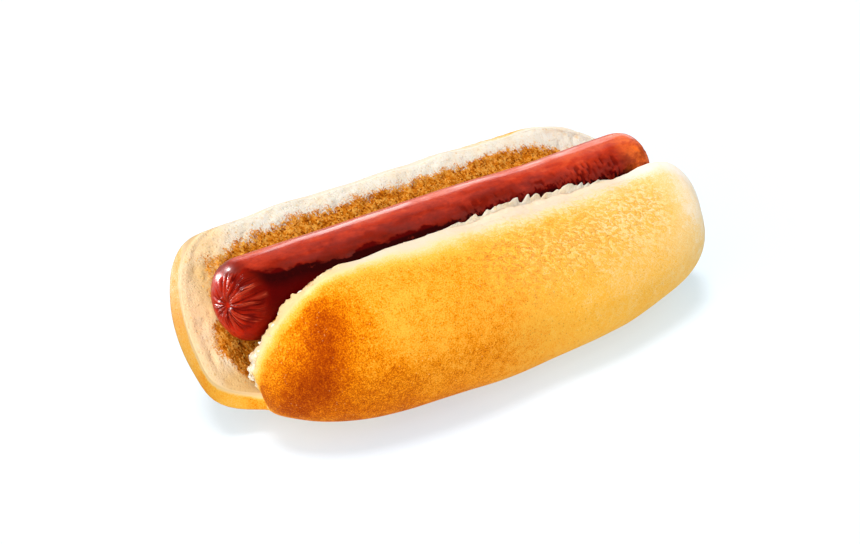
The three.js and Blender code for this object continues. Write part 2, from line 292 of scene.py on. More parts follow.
def bun_sheets():
    """The cut sheet and the crust sheet as [column, station, xyz] grids, and the columns' u."""
    u = column_places()
    cut_y, cut_z = cut_section(u)
    share = crust_share(u)
    outline = [(cut_y[0], cut_z[0]), *CRUST_OUTLINE, (cut_y[-1], cut_z[-1])]
    shell = smooth_curve(outline, share)
    below_rim = rim_distance(u)
    farness = 1 / (1 + np.exp((LOBE_CHANGE[0] - u) / LOBE_CHANGE[1]))
    thickest = mix(NEAR.thickest, FAR.thickest, farness)
    depth = np.hypot(shell[:, 0] - cut_y, shell[:, 1] - cut_z)
    stations = 2 * HALF_STATIONS + 1
    cut = np.empty((len(u), stations, 3))
    crust = np.empty_like(cut)
    from_end = np.arange(HALF_STATIONS + 1) / HALF_STATIONS
    for c, place in enumerate(u):
        lobe = NEAR if place < 0 else FAR
        for side, sign in (("left", -1), ("right", 1)):
            end = getattr(lobe, side)
            reach = mix(end.rim, end.full, quarter_ellipse(below_rim[c], end.corner))
            reach = mix(reach, HINGE[side], hump(place, 0, lobe.hinge_blend))
            near_end, far_end = getattr(NEAR, side), getattr(FAR, side)
            power = mix(near_end.bluntness, far_end.bluntness, farness[c])
            run = reach - sign * thickest[c]
            crust_out = superellipse_stations(power, run, depth[c], HALF_STATIONS)
            even_out = crowded(from_end, STATION_CROWDING)
            cut_out = mix(crust_out, even_out, ease(below_rim[c] / STATIONS_ALIKE))
            thin = (1 - crust_out ** power) ** (1 / power)
            swell = mix(near_end.swell, far_end.swell, farness[c])
            swell *= quarter_ellipse(below_rim[c], SWELL_CORNER)
            swell = swell * np.sin(np.pi * np.minimum(thin / SWELL_BAND, 1)) ** 2
            crust_x = mix(thickest[c], sign * reach, crust_out)
            thin = thin * (1 + sum(
                height * np.sin(crust_x / length + shift * share[c] + start)
                for height, length, shift, start in HEAVE_WAVES))
            index = np.arange(HALF_STATIONS + 1)
            index = index if sign < 0 else stations - 1 - index
            cut[c, index, 0] = mix(thickest[c], sign * reach, cut_out)
            cut[c, index, 1:] = cut_y[c], cut_z[c]
            crust[c, index, 0] = crust_x + sign * swell
            crust[c, index, 1] = mix(cut_y[c], shell[c, 0], thin)
            crust[c, index, 2] = mix(cut_z[c], shell[c, 1], thin)
    return settle(cut, u[:, None]), settle(crust, u[:, None]), u


def border_distance(grid):
    """How far each point of a sheet is from the sheet's border, measured along the sheet."""
    nearest = np.full(grid.shape[:2], np.inf)
    for axis in (0, 1):
        steps = np.linalg.norm(np.diff(grid, axis=axis), axis=2)
        start = np.zeros_like(np.take(steps, [0], axis))
        marks = np.concatenate([start, np.cumsum(steps, axis)], axis)
        total = np.take(marks, [-1], axis)
        nearest = np.minimum(nearest, np.minimum(marks, total - marks))
    return nearest


def vertex_normals(points, quads):
    a, b, c, d = (points[quads[:, k]] for k in range(4))
    facing = np.cross(c - a, d - b)
    normals = np.zeros_like(points)
    for k in range(4):
        np.add.at(normals, quads[:, k], facing)
    length = np.linalg.norm(normals, axis=1, keepdims=True)
    return normals / np.maximum(length, 1e-12)


class Surface:
    """Points, quads and the per-point fields of a piece while it is being shaped."""

    def __init__(self, points, quads, material_index, **fields):
        self.points = points
        self.quads = quads
        self.material_index = material_index
        self.fields = fields

    def push(self, height):
        """Moves every point along its normal."""
        self.points = self.points + vertex_normals(self.points, self.quads) * height[:, None]

    def to_object(self, name, materials):
        mesh = bpy.data.meshes.new(name)
        faces = [list(dict.fromkeys(quad)) for quad in self.quads.tolist()]
        mesh.from_pydata((self.points * MM).tolist(), [], faces)
        for material in materials:
            mesh.materials.append(material)
        mesh.polygons.foreach_set("material_index", self.material_index.astype(np.int32))
        mesh.polygons.foreach_set("use_smooth", np.ones(len(faces), bool))
        for field, values in self.fields.items():
            store(mesh, field, values)
        mesh.update()
        return add_object(name, mesh)


def add_object(name, data):
    """A new object in the scene, from a mesh, a lamp or a camera."""
    added = bpy.data.objects.new(name, data)
    bpy.context.scene.collection.objects.link(added)
    return added


def store(mesh, name, values):
    """Keeps one number or one vector for each point as an attribute of the mesh."""
    values = np.asarray(values, np.float32)
    if values.ndim == 1:
        mesh.attributes.new(name, "FLOAT", "POINT").data.foreach_set("value", values)
    else:
        mesh.attributes.new(name, "FLOAT_VECTOR", "POINT").data.foreach_set("vector", values.ravel())


def bun_surface():
    """Both sheets joined all round their border, with the fields that the relief needs."""
    cut, crust, u = bun_sheets()
    columns, stations = cut.shape[:2]
    cut_index = np.arange(columns * stations).reshape(columns, stations)
    crust_index = cut_index.copy()
    inner = (slice(1, -1), slice(1, -1))
    count = (columns - 2) * (stations - 2)
    crust_index[inner] = columns * stations + np.arange(count).reshape(columns - 2, stations - 2)

    def quads(index, outward):
        corners = [index[:-1, :-1], index[:-1, 1:], index[1:, 1:], index[1:, :-1]]
        corners = corners if outward else corners[::-1]
        return np.stack([corner.ravel() for corner in corners], 1)

    def both(on_cut, on_crust):
        joined = np.r_[on_cut.reshape(columns * stations, -1), on_crust[inner].reshape(count, -1)]
        return joined.squeeze()

    cut_quads, crust_quads = quads(cut_index, True), quads(crust_index, False)
    u_grid = np.repeat(u[:, None], stations, 1)
    return Surface(
        both(cut, crust),
        np.r_[cut_quads, crust_quads],
        np.r_[np.zeros(len(cut_quads)), np.ones(len(crust_quads))],
        u=both(u_grid, u_grid),
        x=both(cut[..., 0], crust[..., 0]),
        edge=both(border_distance(cut), border_distance(crust)),
        crust=both(np.zeros_like(u_grid), np.ones_like(u_grid)),
    )


def toast_reach(x, u):
    """How far inside the toasted part of the cut faces a point is, in millimetres."""
    top = TOAST_TOP - 7.5 * rise(x, 46, 20) - 3.2 * rise(x, -50, -11)
    left = trace(u, TOAST_LEFT) + 4.5 * layered_noise(sheet_place(x, u), 5.5, 2, 35) * rise(u, 16, 6)
    across = np.where(u < 0, u - TOAST_LOW + 5 * rise(x, -50, 10), top - u)
    from_left = (x - left) * mix(1, 0.4, rise(u, 26, 8))
    return np.minimum(np.minimum(across, TOAST_RIGHT - x), from_left)


def near_bake(x, share, drift):
    """Bake of the near crust: a dark slanted streak with a brown patch round it, and paler to the right."""
    lower = rise(share, 0.14, 0.18)
    from_streak = x - (STREAK["x"] + STREAK["slant"] * share + 1.5 * drift)
    streak = STREAK["depth"] * rise(share, 0.04, 0.11) * hump(from_streak, 0, STREAK["width"])
    streak = streak * (1 - 0.6 * rise(share, 0.25, 0.1))
    patch = 0.1 * rise(x, -48 + 47 * share + 3 * drift, -8) * ease(share / 0.14)
    patch = patch * rise(from_streak, -10, 8)
    bake = NEAR_BAKE + 0.09 * lower + 0.04 * drift + streak + patch
    return bake - (0.3 * rise(x, -25, 75) + 0.34 * rise(x, 46, 40) * (1 - 0.5 * lower))


def far_bake(x, share, drift):
    """Bake of the far crust: paler above and at the right end, and patchy at the left end."""
    left_end = rise(x, -62, -12)
    bake = FAR_BAKE - 0.1 * rise(share, 0.75, 0.2) * (1 - left_end)
    bake -= 0.12 * rise(share, 0.6, 0.1) * left_end
    bake += 0.08 * drift - 0.12 * rise(x, 60, 20)
    return bake + 0.16 * layered_noise(sheet_place(x, 60 * share), 4.5, 3, 23) * left_end


def bake_field(x, u, edge):
    """How baked the crust is: 0 is unbaked, 0.5 golden, 0.75 amber, 1 deep brown and more is scorched."""
    share = crust_share(u)
    drift = layered_noise(sheet_place(x, 60 * share), 22, 2, 21)
    bake = mix(near_bake(x, share, drift), far_bake(x, share, drift), rise(share, 0.36, 0.1))
    # From the rim, the bake starts at one distance and is full past a ragged band.
    ragged = layered_noise(sheet_place(x, 40 * share), 5, 3, 22)
    left_rim = rise(x, -44, -12)
    start = np.where(
        u < 0,
        2.3 + 2.2 * hump(x, -32, 18) - 2.2 * left_rim + 2.5 * rise(x, 50, 20),
        0.6 + 2.2 * rise(x, -70, 14))
    band = np.where(
        u < 0,
        8.5 + 5 * hump(x, -30, 26) * (1 - left_rim) - 2 * left_rim + 1.5 * ragged,
        1.2 + 12 * rise(x, -76, 14) * rise(share, 0.66, 0.12) + 0.8 * ragged)
    return bake * rise(edge, start, band)


def keep_clear(points, gap):
    """Pushes points out of the space that the sausage takes up, and a little further."""
    away = points[:, 1:] - [0, SAUSAGE_Z]
    distance = np.linalg.norm(away, axis=1)
    end = np.clip((np.abs(points[:, 0]) - SAUSAGE_HALF + CAP_LENGTH) / CAP_LENGTH, 0, 1)
    reach = (SAUSAGE_RADIUS + gap) * np.sqrt(1 - end ** 2) * (end < 1)
    short = distance < reach
    scale = np.where(short, reach / np.maximum(distance, 1e-6), 1)
    moved = points.copy()
    moved[:, 1:] = [0, SAUSAGE_Z] + away * scale[:, None]
    return moved


def torn_ledge(x, edge):
    """Height of the strip of crumb that stands up torn along the near rim."""
    along = sheet_place(x)
    height = 0.75 + 0.5 * lattice_noise(along, 4.2, 52) + 0.4 * lattice_noise(along, 1.4, 53)
    height = np.clip(height, 0.05, 1.3) * LEDGE["height"]
    height = height * rise(x, LEDGE["start"], 10) * rise(x, LEDGE["end"], -12)
    return height * ease(edge / 0.8) * (1 - rise(edge, 1.4, 2.2))


def crumb_relief(points, x, u, edge, toast, depth):
    """Fibrous crumb of the cut faces, a little sunk where it is toasted, with a lip along the far rim."""
    lay = sheet_place(x, u)
    fibre = lattice_noise(lay * [1, 0.4, 1], 1.1, 31) + 0.6 * lattice_noise(lay * [1, 0.45, 1], 2.3, 32)
    lumps = layered_noise(points, 3.2, 2, 33)
    pits = rise(lattice_noise(points, 1.9, 34), 0.3, 0.4)
    crumb = depth * (0.35 * fibre + 0.8 * lumps - 0.9 * pits) * mix(0.65, 1, toast)
    crumb = crumb - 0.4 * toast * rise(edge, 3, 4)
    lip = (0.2 + 0.15 * lumps) * hump(edge, 1.5, 1.0) * (u > 0)
    return crumb * rise(edge, 1, 2.5) + lip


def shell_relief(points, x, u, edge, wrinkled, crinkle_height):
    """Dents and slanted crinkles of the crust, and the crease below the near rim."""
    dents = 0.28 * layered_noise(points, 17, 2, 41)
    slanted = sheet_place(x + 0.7 * u, 3.2 * (u - 0.25 * x))
    crinkle = crinkle_height * (1 - np.abs(lattice_noise(slanted, 3.4, 42))) * wrinkled
    crease = -CREASE["depth"] * hump(edge, CREASE["inside"] + 0.5 * np.sin(x / 6), CREASE["width"])
    crease = crease * rise(x, CREASE["start"], 6) * rise(x, CREASE["end"], -8) * (u < 0)
    return (dents + crinkle + crease) * ease(edge / 4) * ease(points[:, UP] / 3)


def near_rim_fringe(points, u, edge, torn, clump):
    """The nibbled border of the near lobe, and the white clump at its left end."""
    rough = layered_noise(points * [1, 1, 0.6], 1.7, 3, 51)
    fringe = 1.5 * rough * torn * np.exp(-edge / 1.8) * (u < 0)
    return fringe + clump * hump(edge, 0, 2.4) * (1.2 + 2.0 * layered_noise(points, 1.5, 2, 54))


def crumb_shade_and_marks(points, x, u, edge):
    """Fibre colour on the far cut face: painted shade beside the sausage's cap, darker low on the left, and
    small marks.
    """
    # Painted shade beside the sausage's cap.
    beside_cap = rise(x, -79, 9) * rise(u, 18, 4) * rise(u, 39, -5)
    low_left = rise(x, -80, 4) * rise(u, 10, -4)
    marks = rise(layered_noise(points, 2.6, 2, 36), 0.25, 0.3) * rise(x, 28, 12) * rise(x, 74, -8)
    marks = 1.1 * marks * rise(edge, 7, -3)
    return np.maximum(np.maximum(beside_cap, low_left) * rise(x, -60, -8), marks) * (u > 0)


def fresh_bread(x, u, edge, on_crust, clump):
    """How white the unbaked bread is, from cream or peach at the left end to white at the right."""
    near = (0.7 + 0.3 * rise(x, 45, 20)) * rise(x, -54, 14)
    near = np.maximum(near, clump) * (1 - 0.7 * rise(edge, 2.8, 3) * (1 - on_crust))
    return np.where(u < 0, near, mix(1, 0.8, on_crust) * rise(x, -66, 14))


def add_bun_relief(bun, crumb_depth, crinkle_height):
    """Gives the smooth bun its fine relief, and works out the fields that its finish reads."""
    x, u, edge, on_crust = (bun.fields[name] for name in ("x", "u", "edge", "crust"))
    points, on_cut = bun.points, 1 - on_crust
    reach = toast_reach(x, u)
    toast = rise(reach, 0.3, 2.5) * on_cut
    inside = np.clip(1 - np.abs(edge - CRINKLES["inside"]) / CRINKLES["reach"], 0, 1)
    wrinkled = rise(x, CRINKLES["start"], 34) * rise(x, CRINKLES["end"], -18) * inside
    torn = 0.1 + 0.9 * np.minimum(rise(x, -40, -18) + 0.35 * hump(x, 12, 26), 1)
    clump = hump(u, -9, 4.5) * rise(x, -60, -6) * (u < 0)
    crumb = crumb_relief(points, x, u, edge, toast, crumb_depth)
    shell = shell_relief(points, x, u, edge, wrinkled, crinkle_height)
    bun.push(crumb * on_cut + shell * on_crust + near_rim_fringe(points, u, edge, torn, clump))
    ledge = torn_ledge(x, edge) * on_cut * (u < 0)
    bun.points = keep_clear(bun.points + ledge[:, None] * LEDGE["lean"], BREAD_GAP)
    bun.points[:, UP] = np.maximum(bun.points[:, UP], 0)
    high_enough = points[:, UP] > LOWEST_FLAKE
    bun.fields = {
        "toast": toast * (1 - 0.75 * rise(u, 12, -6) * rise(x, -60, 6)),
        "reach": reach,
        "bake": bake_field(x, u, edge) * on_crust,
        "wrinkled": wrinkled,
        "torn": (0.05 * torn + 2 * clump) * hump(edge, 0, 1.6) * (u < 0) * high_enough,
        "fresh": fresh_bread(x, u, edge, on_crust, clump),
        # Painted shade over the far crust at its left end.
        "shade": rise(x, -60, -12) * rise(u, 2, 8) * on_crust,
        "tan": crumb_shade_and_marks(points, x, u, edge) * on_cut,
        "lay": sheet_place(x, u) * MM,
    }


# ---------------------------------------------------------------- shape of the sausage

CAP_AXIAL, CAP_RADIAL = 2.6, 2.2  # powers of the superellipse that rounds each end
WAIST = {"at": 32, "width": 17, "depth": 0.055}  # the depth is a share of the radius
CAP_FINISH = 13.0  # how far the finish of the ends reaches from their poles
CAP_RINGS = 64
BODY_RINGS = 400
SEGMENTS = 176
TIES = {-1: (-75.2, -3.0, 40.0), 1: (75.2, 2.0, 37.5)}  # where the skin was tied at each end
DIMPLE = {"depth": 0.9, "radius": 1.4}
FOLD_REACH = {"shortest": 3.6, "longer": 4.8, "ragged": 1.2, "fading": 3.5}  # away from the tie
Folds = namedtuple("Folds", "length depth width seed")
MAIN_FOLDS = Folds(14.0, 0.36, 0.2, 71)
FINE_FOLDS = Folds(8.0, 0.12, 0.2, 72)
LONGEST_FOLDS = math.radians(145)  # towards the near side and up
PAINTED_SHADE_EDGE = [  # X, and how many degrees below the top the painted shade starts
    (-76, -8), (-73.5, 4), (-72, 14), (-68, 22), (-66, 30), (-64, 35), (-61.5, 37), (-58, 36),
    (-54, 37), (-50, 41), (-43, 44), (-25, 47), (0, 47), (30, 52), (50, 60), (76, 68),
]
SHINE = [  # X, and how much the skin there shines
    (-76, 0.12), (-64, 0.45), (-52, 0.7), (-44, 0.85), (-18, 0.7), (-8, 0.75), (50, 0.75),
    (62, 0.5), (76, 0.5),
]
SKIN_FIELDS = (
    "drop", "low", "groove", "crest", "rough", "tip", "pit", "high", "cap", "gather", "blush", "shine",
)


def gathered_skin(points, end, folds):
    """Depth of skin gathered round a tie, grooves for painted shade, crests for a painted highlight, and its
    fan of folds.

    The fan holds the direction and the distance from the tie, and how gathered the skin is.
    """
    away = points - TIES[end]
    distance = np.linalg.norm(away, axis=1)
    angle = np.arctan2(away[:, UP], away[:, 1])
    angle = angle + 0.08 * lattice_noise(points, 3, 70) * ease(distance / 4)
    towards_longest = np.cos(angle - LONGEST_FOLDS)
    reach = FOLD_REACH["shortest"] + FOLD_REACH["longer"] * (0.5 + 0.5 * towards_longest) ** 2
    reach = reach + FOLD_REACH["ragged"] * lattice_noise(points, 1.5, 73)
    band = rise(distance, 0.3, 1.2) * (1 - rise(distance, reach, FOLD_REACH["fading"]))
    depth = DIMPLE["depth"] * hump(distance, 0, DIMPLE["radius"])
    for spread, kind in ((0.5 * folds, MAIN_FOLDS), (1.0 * folds, FINE_FOLDS)):
        outwards = distance / kind.length + 5 * end
        fan = np.stack([spread * np.cos(angle), spread * np.sin(angle), outwards], 1)
        wave = np.abs(lattice_noise(fan, 1, kind.seed))
        cut = hump(wave, 0, kind.width) * band
        depth = depth + kind.depth * (cut + 0.4 * band * (1 - ease(wave / 0.55)))
        if kind is MAIN_FOLDS:
            # Grooves are painted with shade and crests with a highlight; neither changes the depth.
            groove, crest = cut, band * hump(wave, 0.5, 0.17)
        else:
            groove = np.maximum(groove, 0.6 * cut)
    # The painted highlight is strongest on the crests towards the near side and up.
    crest = crest * (0.25 + 0.75 * ease(0.5 + 0.7 * towards_longest))
    return depth, groove, crest, np.cos(angle), np.sin(angle), distance, band


def sausage_rings():
    """X, radius and distance from the pole of each ring, and its normal along the axis and outward."""
    straight = SAUSAGE_HALF - CAP_LENGTH
    turn = np.linspace(0, np.pi / 2, CAP_RINGS + 1)
    reach = np.cos(turn) ** (2 / CAP_AXIAL)
    radius = np.sin(turn) ** (2 / CAP_RADIAL)
    normal = np.stack([
        reach ** (CAP_AXIAL - 1) / CAP_LENGTH,
        radius ** (CAP_RADIAL - 1) / SAUSAGE_RADIUS,
    ], 1)
    normal /= np.linalg.norm(normal, axis=1, keepdims=True)
    body_x = np.linspace(-straight, straight, BODY_RINGS + 1)[1:-1]
    flat = np.zeros(len(body_x))
    ring_x = np.r_[-straight - CAP_LENGTH * reach, body_x, straight + CAP_LENGTH * reach[::-1]]
    ring_radius = SAUSAGE_RADIUS * np.r_[radius, flat + 1, radius[::-1]]
    ring_reach = np.r_[reach, flat, reach[::-1]]
    along = np.r_[-normal[:, 0], flat, normal[::-1, 0]]
    outward = np.r_[normal[:, 1], flat + 1, normal[::-1, 1]]
    return ring_x, ring_radius, np.hypot(ring_radius, (1 - ring_reach) * CAP_LENGTH), along, outward


def ring_quads(rings):
    """Quads between rings of points. The first and last rings are single points, kept after the rest."""
    inner = rings - 2
    index = np.empty((rings, SEGMENTS), int)
    index[1:-1] = np.arange(inner * SEGMENTS).reshape(inner, SEGMENTS)
    index[0], index[-1] = inner * SEGMENTS, inner * SEGMENTS + 1
    after = np.roll(index, -1, axis=1)
    return np.stack([corner.ravel() for corner in (index[:-1], after[:-1], after[1:], index[1:])], 1)


def sausage_surface(settings):
    """Rings round the axis between two puckered ends, as a closed surface with its fields."""
    ring_x, ring_radius, from_pole, along, outward = sausage_rings()
    rings = len(ring_x)
    angle = 2 * np.pi * np.arange(SEGMENTS) / SEGMENTS

    def turned(x, radius):
        around = (x, radius * np.cos(angle), SAUSAGE_Z + radius * np.sin(angle))
        return np.stack(np.broadcast_arrays(*around), 2)

    smooth = turned(ring_x[:, None], ring_radius[:, None])
    gathers = np.zeros((7, rings, SEGMENTS))
    for end in (-1, 1):
        rows = np.sign(ring_x) == end
        found = gathered_skin(smooth[rows].reshape(-1, 3), end, settings.folds)
        gathers[:, rows] = np.reshape(found, (7, -1, SEGMENTS))
    depth, groove, crest = gathers[:3]
    waist = 1 - WAIST["depth"] * hump(ring_x, WAIST["at"], WAIST["width"])
    x = ring_x[:, None] - along[:, None] * depth
    grid = turned(x, (ring_radius * waist)[:, None] - depth * outward[:, None])
    poles = [[grid[row, :, 0].mean(), 0, SAUSAGE_Z] for row in (0, -1)]

    def per_point(values, pole_value=0.0):
        return np.r_[values[1:-1].ravel(), pole_value, pole_value]

    quads = ring_quads(rings)
    return Surface(
        np.r_[grid[1:-1].reshape(-1, 3), poles], quads, np.zeros(len(quads)),
        angle=per_point(np.degrees(np.repeat(angle[None], rings, 0)), 180.0),
        x=per_point(x),
        groove=per_point(groove, 1.0),
        crest=per_point(crest),
        fan=np.stack([per_point(values) for values in gathers[3:6]], 1),
        gather=per_point(gathers[6]),
        cap=per_point(np.repeat(1 - ease(from_pole[:, None] / CAP_FINISH), SEGMENTS, 1), 1.0),
    )


def add_sausage_relief(sausage, wrinkle_height):
    """Gives the skin long soft wrinkles, pits low on the sides and slight dents, and its finish's fields."""
    points = sausage.points
    angle, x = (sausage.fields.pop(name) for name in ("angle", "x"))
    below_top = np.abs(angle - 90)
    below_top = np.minimum(below_top, 360 - below_top)
    dents = 0.16 * layered_noise(points * [0.35, 1, 1], 7, 2, 61)
    rough = rise(x, -18, 30)
    cover = rise(below_top, 22, 18) * rough * ease(0.6 + lattice_noise(points, 7, 64))
    pits = rise(lattice_noise(points * [1, 0.65, 0.65], 1.05, 62), 0.05, 0.4) * cover
    fine = lattice_noise(points * [0.3, 1, 1], 1.1, 63) * (0.4 + rise(below_top, 28, 12))
    sausage.push(dents - wrinkle_height * (1.9 * pits + 0.35 * fine))
    far_side = ease(1 - np.abs(np.mod(angle + 90, 360) - 90) / 90)  # 0 from the top round the near side
    # Degrees past the edge of the painted shade and dark reflection low on the sides, partly the skin's own
    # colour.
    drop = below_top - (trace(x, PAINTED_SHADE_EDGE) + 60 * far_side * rise(x, -60, -6))
    # Painted light: lighter towards the top, darker down the sides, on the left and at the left cap's top
    # corner.
    high = np.maximum(1 - np.abs(angle - 75) / 45, -0.6)
    high -= 0.15 * rise(x, -20, -30) + 0.7 * rise(x, -67, -4)
    sausage.fields.update(
        drop=drop, rough=rough, pit=pits, low=np.clip(drop / 60, 0, 1), tip=rise(x, 58, 10),
        high=high + 0.4 * rise(x, 5, 50), blush=0.6 * rise(x, -65, -9), shine=trace(x, SHINE),
    )


# ---------------------------------------------------------------- nodes

def paint(red, green, blue):
    """A screen colour of 0 to 255 as the linear colour that a shader takes."""
    parts = (red / 255, green / 255, blue / 255)
    return tuple(part / 12.92 if part <= 0.04045 else ((part + 0.055) / 1.055) ** 2.4 for part in parts)


class Recipe:
    """Short ways to add the nodes of one tree and to join them."""

    def __init__(self, tree):
        self.tree = tree
        tree.nodes.clear()

    def add(self, kind, inputs=None, **settings):
        """A new node with its settings. Its inputs are numbers, colours or the outputs of other nodes."""
        node = self.tree.nodes.new(kind)
        for name, value in settings.items():
            setattr(node, name, value)
        for key, value in (inputs or {}).items():
            self.join(node.inputs[key], value)
        return node

    def join(self, socket, value):
        if isinstance(value, bpy.types.NodeSocket):
            self.tree.links.new(value, socket)
        elif socket.type == "RGBA":
            socket.default_value = (*value, 1.0)
        else:
            socket.default_value = value

    def math(self, operation, total, *others):
        """The operation on all the values, from the first to the last."""
        for value in others:
            total = self.add("ShaderNodeMath", {0: total, 1: value}, operation=operation).outputs[0]
        return total

    def plus(self, *values):
        return self.math("ADD", *values)

    def times(self, *values):
        return self.math("MULTIPLY", *values)

    def span(self, value, low, high, to_low=0.0, to_high=1.0):
        """The stretch from low to high as a stretch between two other numbers, and no further."""
        keys = ("Value", "From Min", "From Max", "To Min", "To Max")
        inputs = dict(zip(keys, (value, low, high, to_low, to_high)))
        return self.add("ShaderNodeMapRange", inputs).outputs["Result"]

    def swing(self, noise, reach):
        """A noise of 0 to 1 as a number that swings by the reach to both sides of 0."""
        return self.span(noise, 0.3, 0.7, -reach, reach)

    def blend(self, factor, a, b, kind="MIX"):
        node = self.add("ShaderNodeMix", data_type="RGBA", blend_type=kind)
        for index, value in ((0, factor), (6, a), (7, b)):
            self.join(node.inputs[index], value)
        return node.outputs[2]

    def tinted(self, colour, *tints):
        """The colour with each tint laid over the last, by the share that stands before it."""
        for share, tint in tints:
            colour = self.blend(share, colour, tint)
        return colour

    def field(self, name, output="Fac"):
        return self.add("ShaderNodeAttribute", attribute_name=name).outputs[output]

    def place(self):
        return self.add("ShaderNodeTexCoord").outputs["Object"]

    def stretched(self, vector, lengths, turn=(0.0, 0.0, 0.0)):
        """A place for a pattern that is drawn out by the lengths along turned axes."""
        inputs = {"Vector": vector, "Scale": lengths, "Rotation": turn}
        return self.add("ShaderNodeMapping", inputs, vector_type="TEXTURE").outputs["Vector"]

    def grain(self, vector, size, detail=2.0, roughness=0.5, distortion=0.0):
        """Noise whose bumps are about "size" millimetres across, from 0 to 1."""
        inputs = {
            "Vector": vector, "Scale": 1 / (size * MM), "Detail": detail,
            "Roughness": roughness, "Distortion": distortion,
        }
        return self.add("ShaderNodeTexNoise", inputs).outputs["Fac"]

    def specks(self, vector, size, share, radius):
        """Sparse round specks: 1 inside a speck, in a given share of the cells."""
        node = self.add("ShaderNodeTexVoronoi", {"Vector": vector, "Scale": 1 / (size * MM)})
        draw = self.add("ShaderNodeSeparateColor", {"Color": node.outputs["Color"]}).outputs[0]
        inside = self.span(node.outputs["Distance"], radius, radius * 0.4)
        return self.times(self.math("LESS_THAN", draw, share), inside)

    def ramp(self, value, stops):
        """Colours between the stops, each a place from 0 to 1 and its colour."""
        node = self.add("ShaderNodeValToRGB", {"Fac": value})
        elements = node.color_ramp.elements
        while len(elements) < len(stops):
            elements.new(0.5)
        places, colours = zip(*stops)
        # All places are set first, because an element may change its turn when its place is set.
        for element, place in zip(elements, places):
            element.position = place
        for element, colour in zip(elements, colours):
            element.color = (*colour, 1.0)
        return node.outputs["Color"]

    def bump(self, height, distance, strength):
        inputs = {"Height": height, "Distance": distance * MM, "Strength": strength}
        return self.add("ShaderNodeBump", inputs).outputs["Normal"]


def new_material(name):
    material = bpy.data.materials.new(name)
    material.use_nodes = True
    return material, Recipe(material.node_tree)


SHADE_TINT = (0.7, 0.67, 0.66)  # painted shade, laid over the far crust at its left end
DULL_COAT = (0.03, 0.03, 0.03)  # for the skin of the puckered ends
FLOOR_COLOUR, FLOOR_GLOW_COLOUR = (0.46, 0.47, 0.5), (0.95, 1.2, 1.32)
# How far red, green and blue go under a surface, as shares of its depth.
CRUST_REACH, CRUMB_REACH, SKIN_REACH = (1.0, 0.55, 0.2), (1.0, 0.7, 0.4), (1.0, 0.25, 0.1)


def soft_surface(specular, inner_share, inner_reach, depth):
    """Fixed numbers of a surface that lets some light in, and how far each of its colours goes."""
    return {
        "Specular IOR Level": specular, "Subsurface Weight": inner_share,
        "Subsurface Radius": inner_reach, "Subsurface Scale": depth * MM,
    }


def finish_surface(recipe, linked, fixed):
    """Ends a material in a Principled BSDF. "fixed" holds the numbers set on its own sockets."""
    shader = recipe.add("ShaderNodeBsdfPrincipled", {**linked, **fixed})
    recipe.add("ShaderNodeOutputMaterial", {"Surface": shader.outputs["BSDF"]})


def crust_material(colours):
    """Baked crust: cream to deep brown by its bake, with a fine grain and small pale specks that are painted
    glints.
    """
    material, r = new_material("baked_crust")
    place, bake, wrinkled = r.place(), r.field("bake"), r.field("wrinkled")
    clouds = r.grain(place, 9, 3)
    mottle = r.grain(place, 2.2, 3)
    grain = r.grain(place, 0.4, 2, 0.75)
    slant = r.stretched(place, (4.0, 1.0, 1.0), (0.0, 0.75, 0.0))
    strokes = r.grain(slant, 0.9, 3, 0.55, 0.8)
    crinkle = r.times(wrinkled, r.span(strokes, 0.48, 0.62))
    grit = r.times(r.swing(grain, 0.15), r.span(bake, 0.0, 0.45, 0.1, 1.0))
    creases = r.times(wrinkled, r.span(strokes, 0.42, 0.58, -0.14, 0.18))
    level = r.plus(bake, r.swing(clouds, 0.035), r.swing(mottle, 0.045), grit, creases)
    top = CRUST_BAKES["scorched"]
    stops = [(at / top, getattr(colours, name)) for name, at in CRUST_BAKES.items()]
    baked = r.ramp(r.times(level, 1 / top), [(0.0, colours.pale), *stops])
    unbaked = r.ramp(r.field("fresh"), [(0.0, colours.cream), (0.7, colours.rim), (1.0, colours.chalk)])
    colour = r.blend(r.span(level, 0.24, 0.02), baked, unbaked)
    colour = r.blend(r.field("shade"), colour, SHADE_TINT, "MULTIPLY")
    colour = r.tinted(
        colour,
        (r.times(crinkle, 0.2), colours.pale),
        (r.times(r.specks(place, 0.8, 0.3, 0.32), r.span(bake, 0.2, 0.6, 0, 0.5)), colours.deep),
        # Painted glints: small pale specks.
        (r.times(r.specks(place, 0.9, 0.25, 0.24), r.span(clouds, 0.45, 0.65, 0.0, 0.5)), colours.pale),
    )
    pores = r.times(r.grain(place, 0.8, 3, 0.65), 0.7)
    height = r.plus(r.times(grain, 0.6), pores, r.times(crinkle, 1.8))
    finish_surface(r, {
        "Base Color": colour,
        "Roughness": r.span(mottle, 0.3, 0.7, 0.42, 0.58),
        "Normal": r.bump(height, 0.16, 0.8),
    }, soft_surface(0.03, 0.05, CRUST_REACH, 1.2))
    return material


